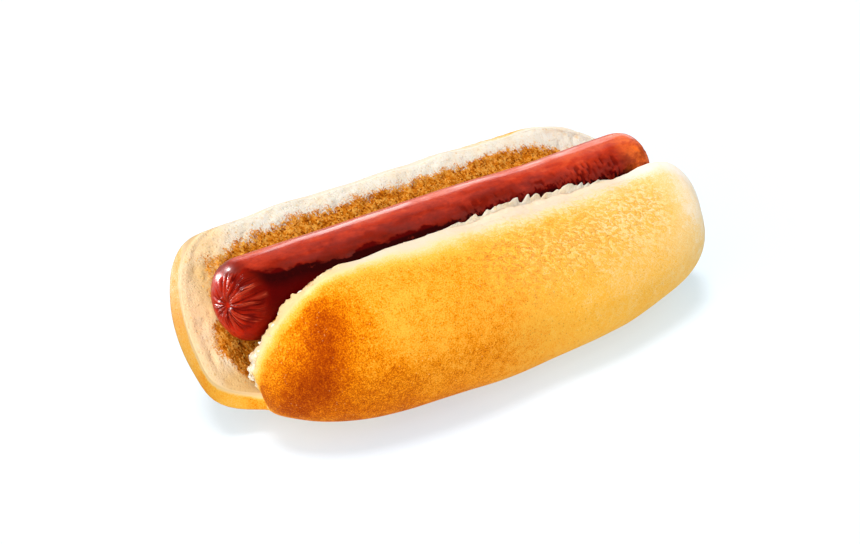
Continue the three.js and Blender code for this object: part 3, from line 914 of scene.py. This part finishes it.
def crumb_material(colours):
    """Soft crumb of the cut faces: cream with short fibres, toasted golden brown where it is browned."""
    material, r = new_material("soft_crumb")
    place, lay = r.place(), r.field("lay", "Vector")
    fibres = r.grain(r.stretched(lay, (1.0, 3.5, 1.0), (0.0, 0.0, 0.35)), 0.45, 3, 0.6, 0.3)
    spikes = r.grain(r.stretched(lay, (1.0, 4.5, 1.0), (0.0, 0.0, 0.4)), 1.5, 4, 0.7)
    strands = r.grain(r.stretched(lay, (1.0, 3.5, 1.0), (0.0, 0.0, 0.6)), 0.8, 3, 0.65, 0.6)
    islands = r.grain(lay, 7, 2)
    clouds = r.grain(place, 6, 3)
    grain = r.grain(place, 0.55, 3, 0.65)
    lumps = r.grain(place, 1.5, 2)
    fresh = r.plus(r.field("fresh"), r.swing(clouds, 0.3))
    cream = r.blend(r.span(fresh, 0.0, 1.0), colours.peach, colours.white)
    strokes = r.times(r.span(fibres, 0.52, 0.72), 0.45)
    flecks = r.times(r.specks(lay, 1.3, 0.4, 0.34), r.span(spikes, 0.4, 0.6, 0.2, 1.0))
    # Painted shade beside the sausage's cap, darker crumb low on the left, and small marks, in fibre colour.
    tan = r.times(r.field("tan"), r.span(clouds, 0.3, 0.7, 0.6, 1.1))
    cream = r.blend(r.math("MAXIMUM", strokes, flecks, tan), cream, colours.fibre)
    browned = r.plus(r.times(grain, 0.25), r.times(lumps, 0.3), r.times(strands, 0.45))
    toasted = r.ramp(browned, [(0.39, colours.char), (0.48, colours.toast), (0.59, colours.toast_light)])
    reach = r.span(spikes, 0.25, 0.75, -1.4, 1.4)
    level = r.plus(r.field("reach"), reach, r.swing(islands, 1.2), r.swing(grain, 1.6))
    pores = r.times(r.specks(place, 0.9, 0.5, 0.42), 0.6)
    height = r.math("SUBTRACT", r.plus(r.times(fibres, 0.6), grain), pores)
    finish_surface(r, {
        "Base Color": r.blend(r.span(level, -0.5, 1.0), cream, toasted),
        "Roughness": r.span(grain, 0.3, 0.7, 0.8, 0.95),
        "Normal": r.bump(height, 0.3, 0.7),
    }, soft_surface(0.08, 0.12, CRUMB_REACH, 1.5))
    return material


def crumb_bits_material(name, base, lighter, darker):
    """Loose or torn bits of crumb, each a little lighter or darker than the next."""
    material, r = new_material(name)
    grain = r.grain(r.place(), 0.4, 3, 0.6)
    level = r.plus(r.field("tint"), r.swing(grain, 0.2))
    finish_surface(r, {
        "Base Color": r.ramp(level, [(0.1, darker), (0.5, base), (0.9, lighter)]),
        "Roughness": r.span(grain, 0.3, 0.7, 0.8, 0.95),
        "Normal": r.bump(grain, 0.12, 0.6),
    }, soft_surface(0.08, 0.15, CRUMB_REACH, 1.0))
    return material


def fold_lines(r, crest, gather):
    """Thin furrows that run out from each tie, sunk and with painted shade, and the ridges between, with a
    painted highlight.
    """
    scale = {0: r.field("fan", "Vector"), 1: (8.0, 8.0, 0.07)}
    fan = r.add("ShaderNodeVectorMath", scale, operation="MULTIPLY").outputs[0]
    noise = r.add("ShaderNodeTexNoise", {"Vector": fan, "Scale": 1.0, "Detail": 0.5}).outputs["Fac"]
    ripple = r.math("ABSOLUTE", r.math("SUBTRACT", noise, 0.5), 0.0)
    furrow = r.times(r.span(ripple, 0.04, 0.005), gather)
    ridge_highlight = r.times(r.span(ripple, 0.03, 0.06), r.span(ripple, 0.11, 0.07))
    return furrow, r.times(ridge_highlight, r.times(gather, r.span(crest, 0.0, 0.4, 0.06, 1.0)))


def skin_material(colours):
    """Cooked frankfurter skin: glossy brick red painted lighter on top, and nearly black red painted shade
    low on the sides.
    """
    material, r = new_material("frankfurter_skin")
    place = r.place()
    drop, low, groove, crest, rough, tip, pit, high, cap, gather, blush, shine = map(r.field, SKIN_FIELDS)
    furrow, ridge_highlight = fold_lines(r, crest, gather)
    clouds = r.grain(r.stretched(place, (2.5, 1.0, 1.0)), 4.5, 3)
    mottle = r.grain(place, 1.1, 3, 0.6)
    dapple = r.grain(r.stretched(place, (1.6, 1.0, 1.0)), 2.0, 3, 0.6)
    level = r.plus(high, r.swing(clouds, 0.25), r.swing(dapple, 0.2))
    # Painted light: one red skin, lighter towards the top where the light falls and darker down the sides.
    bright = r.ramp(r.span(level, -0.6, 1.0), [
        (0.0, colours.umber), (0.375, colours.brick), (0.69, colours.red), (1.0, colours.rosy),
    ])
    # Painted shade and a painted dark reflection low on the sides, nearly black just past their edge.
    painted_dark_side = r.ramp(low, [
        (0.0, colours.maroon), (0.05, colours.shade_black), (0.2, colours.shade_black), (0.45, colours.maroon),
    ])
    waves = r.grain(r.stretched(place, (1.7, 1.0, 1.0)), 5.5, 4, 0.62)
    strokes = r.grain(r.stretched(place, (1.0, 1.7, 1.7), (0.5, 0.0, 0.0)), 1.3, 4, 0.65)
    calm = r.span(cap, 0.2, 0.7, 1.0, 0.3)
    # The ragged edge of the painted shade, and how far into the painted shade a point lies.
    wavy = r.times(calm, r.span(waves, 0.25, 0.75, -15, 15))
    edge = r.plus(drop, wavy, r.times(rough, r.swing(strokes, 10)))
    in_painted_shade = r.span(edge, -1.5, 2.5)
    # Near the ends, the painted shade gives way to the gathered skin's own red.
    gathered = r.blend(r.span(mottle, 0.35, 0.65, 0.0, 0.25), colours.gathered, colours.maroon)
    painted_dark_side = r.blend(r.math("MAXIMUM", blush, r.span(cap, 0.02, 0.3)), painted_dark_side, gathered)
    colour = r.tinted(
        r.blend(in_painted_shade, bright, painted_dark_side),
        # Painted shade in the pits; the orange tip and the maroon mottle below are the skin's own.
        (r.times(pit, 0.75), colours.maroon),
        (r.times(tip, r.span(dapple, 0.4, 0.6, 0.3, 0.8)), colours.orange),
        (r.times(r.span(mottle, 0.55, 0.75), 0.25), colours.maroon),
        # Painted highlights on the crests and ridges, and painted shade in the grooves and furrows.
        (r.times(crest, in_painted_shade, 0.25), colours.crest),
        (r.times(ridge_highlight, 0.6), colours.crest),
        (r.times(groove, 0.8), colours.maroon),
        (r.times(furrow, r.span(in_painted_shade, 0.0, 1.0, 0.35, 0.9)), colours.maroon),
    )
    skin = r.grain(r.stretched(place, (2.0, 1.0, 1.0)), 0.7, 3, 0.6)
    wet = r.grain(r.stretched(place, (4.0, 1.0, 1.0)), 2.5, 3)
    coat = r.times(
        r.span(edge, 2.0, -4.0), r.span(wet, 0.38, 0.6, 0.25, 1.1), shine,
        r.span(pit, 0.0, 0.5, 1.0, 0.25), r.span(rough, 0.0, 1.0, 1.0, 0.8))
    height = r.math("SUBTRACT", r.times(skin, 0.12), r.times(furrow, 0.5))
    finish_surface(r, {
        "Base Color": colour,
        "Roughness": r.span(mottle, 0.3, 0.7, 0.26, 0.4),
        "Coat Weight": r.blend(r.span(cap, 0.1, 0.5), coat, DULL_COAT),
        "Normal": r.bump(height, 0.35, 0.8),
    }, {**soft_surface(0.03, 0.05, SKIN_REACH, 1.5), "Coat Roughness": 0.1})
    return material


# ---------------------------------------------------------------- scattered crumb

# The shape of a grain is its length, width and thickness as shares of its size, and its tilt is in
# radians. The lift, the unevenness and its size are in millimetres.
Grains = namedtuple("Grains", "name where shape least_scale lift unevenness uneven_size tilt roundness")
TORN = Grains(
    name="torn_crumb", where="torn", shape=(1, 0.55, 0.16), least_scale=0.3, lift=0.0,
    unevenness=0.8, uneven_size=0.8, tilt=0.45, roundness=2,
)
TOASTED = Grains(
    name="toasted_grains", where="toast", shape=(1, 0.6, 0.45), least_scale=0.3, lift=0.02,
    unevenness=0.45, uneven_size=0.7, tilt=0.5, roundness=1,
)


def scatter_tree():
    """Geometry nodes that strew uneven grains over a mesh, as thickly as one of its fields says."""
    tree = bpy.data.node_groups.new("strewn_grains", "GeometryNodeTree")
    sockets = {
        "Carrier": "Geometry", "Where": "String", "Density": "Float", "Size": "Vector",
        "Least Scale": "Float", "Lift": "Float", "Unevenness": "Float", "Unevenness Size": "Float",
        "Tilt": "Float", "Roundness": "Int", "Seed": "Int", "Material": "Material",
    }
    for name, kind in sockets.items():
        tree.interface.new_socket(name=name, in_out="INPUT", socket_type="NodeSocket" + kind)
    tree.interface.new_socket(name="Grains", in_out="OUTPUT", socket_type="NodeSocketGeometry")
    r = Recipe(tree)
    given = r.add("NodeGroupInput").outputs
    where = r.add("GeometryNodeInputNamedAttribute", {"Name": given["Where"]}, data_type="FLOAT")
    density = r.times(where.outputs["Attribute"], given["Density"])
    spread = r.add("GeometryNodeDistributePointsOnFaces", {
        "Mesh": given["Carrier"], "Density": density, "Seed": given["Seed"],
    })
    grain = r.add("GeometryNodeMeshIcoSphere", {"Radius": 0.5, "Subdivisions": given["Roundness"]})
    shaped = r.add("GeometryNodeTransform", {"Geometry": grain.outputs["Mesh"], "Scale": given["Size"]})
    most = r.add("ShaderNodeCombineXYZ", {0: given["Tilt"], 1: given["Tilt"], 2: math.pi}).outputs[0]
    least = r.add("ShaderNodeVectorMath", {0: most, 1: (-1.0, -1.0, -1.0)}, operation="MULTIPLY")
    turn = r.add("FunctionNodeRandomValue", {
        "Min": least.outputs[0], "Max": most, "Seed": given["Seed"],
    }, data_type="FLOAT_VECTOR")
    turned = r.add("FunctionNodeRotateRotation", {
        "Rotation": spread.outputs["Rotation"],
        "Rotate By": r.add("FunctionNodeEulerToRotation", {0: turn.outputs[0]}).outputs[0],
    }, rotation_space="LOCAL")
    scale = r.add("FunctionNodeRandomValue", {
        2: given["Least Scale"], 3: 1.0, "Seed": given["Seed"],
    }, data_type="FLOAT")
    placed = r.add("GeometryNodeInstanceOnPoints", {
        "Points": spread.outputs["Points"], "Instance": shaped.outputs["Geometry"],
        "Rotation": turned.outputs[0], "Scale": scale.outputs[1],
    })
    tint = r.add("FunctionNodeRandomValue", data_type="FLOAT")
    tinted = r.add("GeometryNodeStoreNamedAttribute", {
        "Geometry": placed.outputs[0], "Name": "tint", "Value": tint.outputs[1],
    }, data_type="FLOAT", domain="INSTANCE")
    lifted = r.add("GeometryNodeTranslateInstances", {
        "Instances": tinted.outputs[0],
        "Translation": r.add("ShaderNodeCombineXYZ", {2: given["Lift"]}).outputs[0],
    })
    real = r.add("GeometryNodeRealizeInstances", {"Geometry": lifted.outputs[0]})
    position = r.add("GeometryNodeInputPosition")
    noise = r.add("ShaderNodeTexNoise", {
        "Vector": position.outputs[0], "Detail": 1.0,
        "Scale": r.math("DIVIDE", 1.0, given["Unevenness Size"]),
    })
    middle = {0: noise.outputs["Color"], 1: (0.5, 0.5, 0.5)}
    centred = r.add("ShaderNodeVectorMath", middle, operation="SUBTRACT")
    offset = r.add("ShaderNodeVectorMath", {
        0: centred.outputs[0], "Scale": given["Unevenness"],
    }, operation="SCALE")
    uneven = r.add("GeometryNodeSetPosition", {"Geometry": real.outputs[0], "Offset": offset.outputs[0]})
    smooth = r.add("GeometryNodeSetShadeSmooth", {"Geometry": uneven.outputs[0]})
    dressed = r.add("GeometryNodeSetMaterial", {
        "Geometry": smooth.outputs[0], "Material": given["Material"],
    })
    r.add("NodeGroupOutput", {0: dressed.outputs[0]})
    return tree


def strew(grains, carrier, tree, material, density, size, seed):
    """One plain mesh of all the grains of a kind that the tree strews over the carrier."""
    modifier = carrier.modifiers.new(grains.name, "NODES")
    modifier.node_group = tree
    inputs = {
        "Where": grains.where, "Density": density / MM ** 2, "Size": [part * size for part in grains.shape],
        "Least Scale": grains.least_scale, "Lift": grains.lift * MM,
        "Unevenness": grains.unevenness * MM, "Unevenness Size": grains.uneven_size * MM,
        "Tilt": grains.tilt, "Roundness": grains.roundness, "Seed": seed, "Material": material,
    }
    for item in tree.interface.items_tree:
        if item.in_out == "INPUT" and item.name in inputs:
            modifier[item.identifier] = inputs[item.name]
    carrier.update_tag()
    depsgraph = bpy.context.evaluated_depsgraph_get()
    mesh = bpy.data.meshes.new_from_object(
        carrier.evaluated_get(depsgraph), preserve_all_data_layers=True, depsgraph=depsgraph)
    carrier.modifiers.remove(modifier)
    if not mesh.polygons:
        raise RuntimeError(f"no grains were strewn for {grains.name}")
    points = np.empty(3 * len(mesh.vertices))
    mesh.vertices.foreach_get("co", points)
    points = keep_clear(points.reshape(-1, 3) / MM, GRAIN_GAP)
    points[:, UP] = np.maximum(points[:, UP], 0)
    mesh.vertices.foreach_set("co", (points * MM).ravel())
    mesh.name = grains.name
    mesh.update()
    return add_object(grains.name, mesh)


# ---------------------------------------------------------------- settings

def colour_setting(name, description, default):
    return FloatVectorProperty(
        name=name, description=description, subtype="COLOR", size=3, min=0, max=1, default=default)


def length_setting(name, description, default):
    return FloatProperty(name=name, description=description, unit="LENGTH", default=default, precision=5)


def angle_setting(name, description, degrees):
    return FloatProperty(name=name, description=description, subtype="ANGLE", default=math.radians(degrees))


def amount_setting(name, description, default, unit="NONE"):
    return FloatProperty(name=name, description=description, default=default, unit=unit)


class HotDogBread(bpy.types.PropertyGroup):
    """Sizes and colours of the bread."""

    cream: colour_setting("Cream", "Unbaked crust at the left end", paint(236, 200, 146))
    rim: colour_setting("Rim", "Unbaked crust along the near rim", paint(234, 212, 186))
    pale: colour_setting("Pale crust", "Lightly baked crust", paint(248, 212, 146))
    golden: colour_setting("Golden crust", "Crust over most of the bun", paint(251, 184, 62))
    honey: colour_setting("Honey crust", "Crust between golden and amber", paint(249, 169, 54))
    amber: colour_setting("Amber crust", "Well baked crust, low on the sides", paint(246, 146, 6))
    russet: colour_setting("Russet crust", "Crust round the darkest place", paint(206, 98, 0))
    deep: colour_setting("Deep crust", "Crust of the darkest place", paint(166, 61, 0))
    scorched: colour_setting("Scorched crust", "Darkest grains of the crust", paint(118, 36, 0))
    chalk: colour_setting("Chalky crust", "Unbaked crust at the right end", paint(248, 236, 220))
    peach: colour_setting("Peach crumb", "Soft crumb and unbaked crust at the left end", paint(240, 207, 160))
    white: colour_setting("White crumb", "Soft crumb and unbaked crust elsewhere", paint(230, 223, 208))
    fibre: colour_setting("Crumb fibres", "Fine fibres in the crumb", paint(224, 182, 120))
    toast: colour_setting("Toast", "Toasted crumb", paint(208, 118, 14))
    toast_light: colour_setting("Light toast", "Lightly toasted crumb", paint(238, 172, 76))
    char: colour_setting("Dark toast", "Darkest toasted crumb", paint(150, 72, 6))
    crumb_depth: length_setting("Crumb depth", "Height of the crumb's relief", 0.6 * MM)
    crinkle: length_setting("Crinkle", "Height of the crust's crinkles", 0.32 * MM)


class HotDogCrumbs(bpy.types.PropertyGroup):
    """Amounts and sizes of the torn and toasted crumb."""

    torn_density: amount_setting("Torn density", "Torn flakes on each square millimetre", 2.2)
    torn_size: length_setting("Torn size", "Length of the largest torn flake", 1.7 * MM)
    toast_density: amount_setting("Toast density", "Toasted grains on each square millimetre", 1.5)
    toast_size: length_setting("Toast size", "Length of the largest toasted grain", 1.0 * MM)
    torn_base: colour_setting("Torn crumb", "Most of the torn crumb", paint(250, 236, 206))
    torn_light: colour_setting("Light torn crumb", "Lightest torn crumb", paint(252, 244, 226))
    seed: IntProperty(name="Seed", description="Draw of all scattered grains", default=4)


class HotDogSausage(bpy.types.PropertyGroup):
    """Sizes and colours of the frankfurter."""

    folds: IntProperty(name="Folds", description="Main folds gathered at each end", default=13, min=3)
    gathered: colour_setting("Gathered skin", "Skin of the puckered ends", paint(196, 34, 4))
    # A painted highlight on the crests between the folds.
    crest: colour_setting("Crests", "Skin on the crests between the folds", paint(202, 84, 54))
    wrinkle: length_setting("Wrinkle", "Depth of the skin's wrinkles", 0.14 * MM)
    # Rosy, red, brick and umber are one red skin, painted lighter on top and darker down the sides.
    rosy: colour_setting("Rosy skin", "Lightest skin, on top", paint(216, 82, 42))
    red: colour_setting("Red skin", "Skin on the upper sides", paint(188, 50, 20))
    brick: colour_setting("Brick skin", "Skin just above the dark sides", paint(140, 28, 7))
    umber: colour_setting("Umber skin", "Skin between the brick and the dark sides", paint(104, 22, 8))
    # Maroon is the skin's own dark red, also laid on as painted shade low on the sides, in pits and in folds.
    maroon: colour_setting("Maroon skin", "Skin low on the sides and in the folds", paint(84, 3, 2))
    # Painted shade only, nearly black, just past the edge of the dark side.
    shade_black: colour_setting("Dark skin", "Darkest skin", paint(46, 3, 3))
    orange: colour_setting("Orange skin", "Skin of the right tip", paint(240, 112, 40))


class HotDogStage(bpy.types.PropertyGroup):
    """Camera, lights and floor."""

    azimuth: angle_setting("Azimuth", "Turn of the view round the upright, from looking along +Y", -38.2)
    elevation: angle_setting("Elevation", "Angle of the view above the floor", 28.5)
    distance: length_setting("Distance", "From the camera to the point it looks at", 343.4 * MM)
    lens: amount_setting("Lens", "Focal length on a 36 mm wide sensor", 50.23)
    aim: FloatVectorProperty(
        name="Aim", description="Point that the camera looks at", subtype="TRANSLATION",
        unit="LENGTH", default=(-8.95 * MM, -0.94 * MM, 26.45 * MM))
    floor_size: length_setting("Floor size", "Width of the square floor", 6.0)
    floor_glow: amount_setting("Floor glow", "Light from within the floor", 0.43)
    key: amount_setting("Key light", "Strength of the main light", 1.79)
    fill: amount_setting("Fill light", "Strength of the light from the front", 1.84)
    sheen_power: amount_setting("Sheen light", "Power of the low box behind", 1.45, "POWER")
    side_power: amount_setting("Side light", "Power of the box behind on the right", 0.1, "POWER")
    glint_power: amount_setting("Glint light", "Power of each small box to the left", 12.0, "POWER")
    surroundings: amount_setting("Surroundings", "Brightness all round", 0.42)


# ---------------------------------------------------------------- operators

def place_piece(piece, slot, *nodes):
    """Puts a finished piece on the frame's one body, in the place of the nodes, if any."""
    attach(piece, "root")
    for node in nodes:
        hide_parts(node)


class HOTDOG_OT_bun(bpy.types.Operator):
    """Builds the bun with its crust, cut faces and relief"""

    bl_idname = "hotdog.bun"
    bl_label = "Build Bun"

    def execute(self, context):
        settings = context.scene.hotdog_bread
        bun = bun_surface()
        add_bun_relief(bun, settings.crumb_depth / MM, settings.crinkle / MM)
        materials = [crumb_material(settings), crust_material(settings)]
        place_piece(bun.to_object("bread_bun", materials), "bread", "bun")
        return {"FINISHED"}


class HOTDOG_OT_crumbs(bpy.types.Operator):
    """Strews torn flakes along the rims and toasted grains over the browned crumb"""

    bl_idname = "hotdog.crumbs"
    bl_label = "Strew Crumbs"

    def execute(self, context):
        bread, crumbs = context.scene.hotdog_bread, context.scene.hotdog_crumbs
        bun = bpy.data.objects.get("bread_bun")
        if bun is None:
            raise RuntimeError("build the bun before its crumbs")
        torn = crumb_bits_material("torn_crumb_bits", crumbs.torn_base, crumbs.torn_light, bread.peach)
        toasted = crumb_bits_material("toasted_crumb_bits", bread.toast, bread.toast_light, bread.char)
        tree = scatter_tree()
        strewn = (
            (TORN, torn, crumbs.torn_density, crumbs.torn_size),
            (TOASTED, toasted, crumbs.toast_density, crumbs.toast_size),
        )
        for draw, (grains, material, density, size) in enumerate(strewn):
            place_piece(strew(grains, bun, tree, material, density, size, crumbs.seed + draw), "bread")
        return {"FINISHED"}


class HOTDOG_OT_sausage(bpy.types.Operator):
    """Builds the frankfurter with its puckered ends and wrinkled skin"""

    bl_idname = "hotdog.sausage"
    bl_label = "Build Sausage"

    def execute(self, context):
        settings = context.scene.hotdog_sausage
        sausage = sausage_surface(settings)
        add_sausage_relief(sausage, settings.wrinkle / MM)
        piece = sausage.to_object("frankfurter", [skin_material(settings)])
        place_piece(piece, "sausage_skin", "sausage")
        return {"FINISHED"}


# ---------------------------------------------------------------- stage

SENSOR_WIDTH = 36.0  # millimetres
FAR_LIGHT_DISTANCE, SHEEN_DISTANCE = 2.0, 0.65
GLINTS = (("high_glint", -0.505, 0.31), ("low_glint", -0.575, 0.04))  # towards the right, and up
GLINT_SIZE = 0.03


def look(from_point, to_point):
    """A placing matrix whose -Z axis points from one point to another, with +Y up."""
    turn = (to_point - from_point).to_track_quat("-Z", "Y").to_matrix().to_4x4()
    return Matrix.Translation(from_point) @ turn


def far_light(name, direction, softness, strength):
    """A matt light from far away, as even over the floor as a large soft box well above it."""
    light = bpy.data.lights.new(name, "SUN")
    light.angle = softness
    light.energy = strength
    add_lamp(name, light, direction, FAR_LIGHT_DISTANCE).visible_glossy = False


def sheen_box(name, direction, distance, width, height, power):
    """A soft box that only shows as a reflection in the skin."""
    light = bpy.data.lights.new(name, "AREA")
    light.shape = "RECTANGLE"
    light.size, light.size_y = width, height
    light.energy = power
    lamp = add_lamp(name, light, direction, distance)
    lamp.visible_diffuse = False
    lamp.visible_camera = False


def add_lamp(name, light, direction, distance):
    """A lamp at a distance from the origin, which it points at."""
    lamp = add_object(name, light)
    lamp.matrix_world = look(direction.normalized() * distance, Vector((0, 0, 0)))
    return lamp


def add_camera(settings, ahead):
    """A camera that looks at the aim, from behind it along the view and above it."""
    view = bpy.data.cameras.new("view")
    view.lens = settings.lens
    view.sensor_width = SENSOR_WIDTH
    view.sensor_fit = "HORIZONTAL"
    view.clip_start = 0.01
    camera = add_object("view", view)
    aim = Vector(settings.aim)
    back = Vector((0, 0, math.sin(settings.elevation))) - math.cos(settings.elevation) * ahead
    camera.matrix_world = look(aim + back * settings.distance, aim)
    bpy.context.scene.camera = camera


def add_floor(settings):
    """A square pale floor that glows a little, so that it stays even all round."""
    half = settings.floor_size / 2
    mesh = bpy.data.meshes.new("floor")
    corners = [(-half, -half, 0), (half, -half, 0), (half, half, 0), (-half, half, 0)]
    mesh.from_pydata(corners, [], [(0, 1, 2, 3)])
    material, r = new_material("floor_white")
    finish_surface(r, {}, {
        "Base Color": FLOOR_COLOUR, "Roughness": 0.9, "Specular IOR Level": 0.0,
        "Emission Color": FLOOR_GLOW_COLOUR, "Emission Strength": settings.floor_glow,
    })
    mesh.materials.append(material)
    floor = add_object("floor", mesh)
    floor.visible_glossy = False


def add_lights(settings, right, ahead):
    """Two soft lights from above and the front, and boxes that draw the shine along the skin."""
    def towards(to_right, onwards, upwards):
        return to_right * right + onwards * ahead + upwards * Vector((0, 0, 1))

    far_light("key", towards(-0.5, -0.35, 3.0), math.radians(18), settings.key)
    far_light("fill", towards(-0.45, -1.0, 0.75), math.radians(70), settings.fill)
    sheen_box("rim_sheen", towards(0.0, 1.0, 0.34), SHEEN_DISTANCE, 0.7, 0.24, settings.sheen_power)
    sheen_box("side_sheen", towards(0.75, 1.0, 0.8), 0.7, 0.3, 0.3, settings.side_power)
    for name, to_right, upwards in GLINTS:
        direction = towards(to_right, 0.25, upwards)
        sheen_box(name, direction, SHEEN_DISTANCE, GLINT_SIZE, GLINT_SIZE, settings.glint_power)


def set_surroundings(settings):
    """An even pale light from all round."""
    world = bpy.data.worlds.new("studio")
    world.use_nodes = True
    r = Recipe(world.node_tree)
    sky = r.add("ShaderNodeBackground", {"Color": (1.0, 1.0, 1.0), "Strength": settings.surroundings})
    r.add("ShaderNodeOutputWorld", {"Surface": sky.outputs[0]})
    bpy.context.scene.world = world


class HOTDOG_OT_stage(bpy.types.Operator):
    """Sets up the floor, the soft studio light and the camera"""

    bl_idname = "hotdog.stage"
    bl_label = "Set Stage"

    def execute(self, context):
        settings = context.scene.hotdog_stage
        azimuth = settings.azimuth
        ahead = Vector((-math.sin(azimuth), math.cos(azimuth), 0))
        right = Vector((math.cos(azimuth), math.sin(azimuth), 0))
        add_camera(settings, ahead)
        add_floor(settings)
        add_lights(settings, right, ahead)
        set_surroundings(settings)
        context.scene.view_settings.view_transform = "Standard"
        return {"FINISHED"}


# ---------------------------------------------------------------- add-on

class HOTDOG_PT_panel(bpy.types.Panel):
    """Lists the steps that build the hot dog"""

    bl_label = "Hot Dog"
    bl_idname = "HOTDOG_PT_panel"
    bl_space_type = "VIEW_3D"
    bl_region_type = "UI"
    bl_category = "Hot Dog"

    def draw(self, context):
        for operator in OPERATORS:
            self.layout.operator(operator.bl_idname)


SETTINGS = {
    "hotdog_bread": HotDogBread,
    "hotdog_crumbs": HotDogCrumbs,
    "hotdog_sausage": HotDogSausage,
    "hotdog_stage": HotDogStage,
}
OPERATORS = (HOTDOG_OT_stage, HOTDOG_OT_bun, HOTDOG_OT_crumbs, HOTDOG_OT_sausage)


def register():
    for group in (*SETTINGS.values(), *OPERATORS, HOTDOG_PT_panel):
        bpy.utils.register_class(group)
    for name, group in SETTINGS.items():
        setattr(bpy.types.Scene, name, PointerProperty(type=group))


def unregister():
    for name in SETTINGS:
        delattr(bpy.types.Scene, name)
    for group in reversed((*SETTINGS.values(), *OPERATORS, HOTDOG_PT_panel)):
        bpy.utils.unregister_class(group)


def main():
    register()
    bpy.ops.hotdog.stage()
    bpy.ops.hotdog.bun()
    bpy.ops.hotdog.crumbs()
    bpy.ops.hotdog.sausage()


if __name__ == "__main__":
    main()
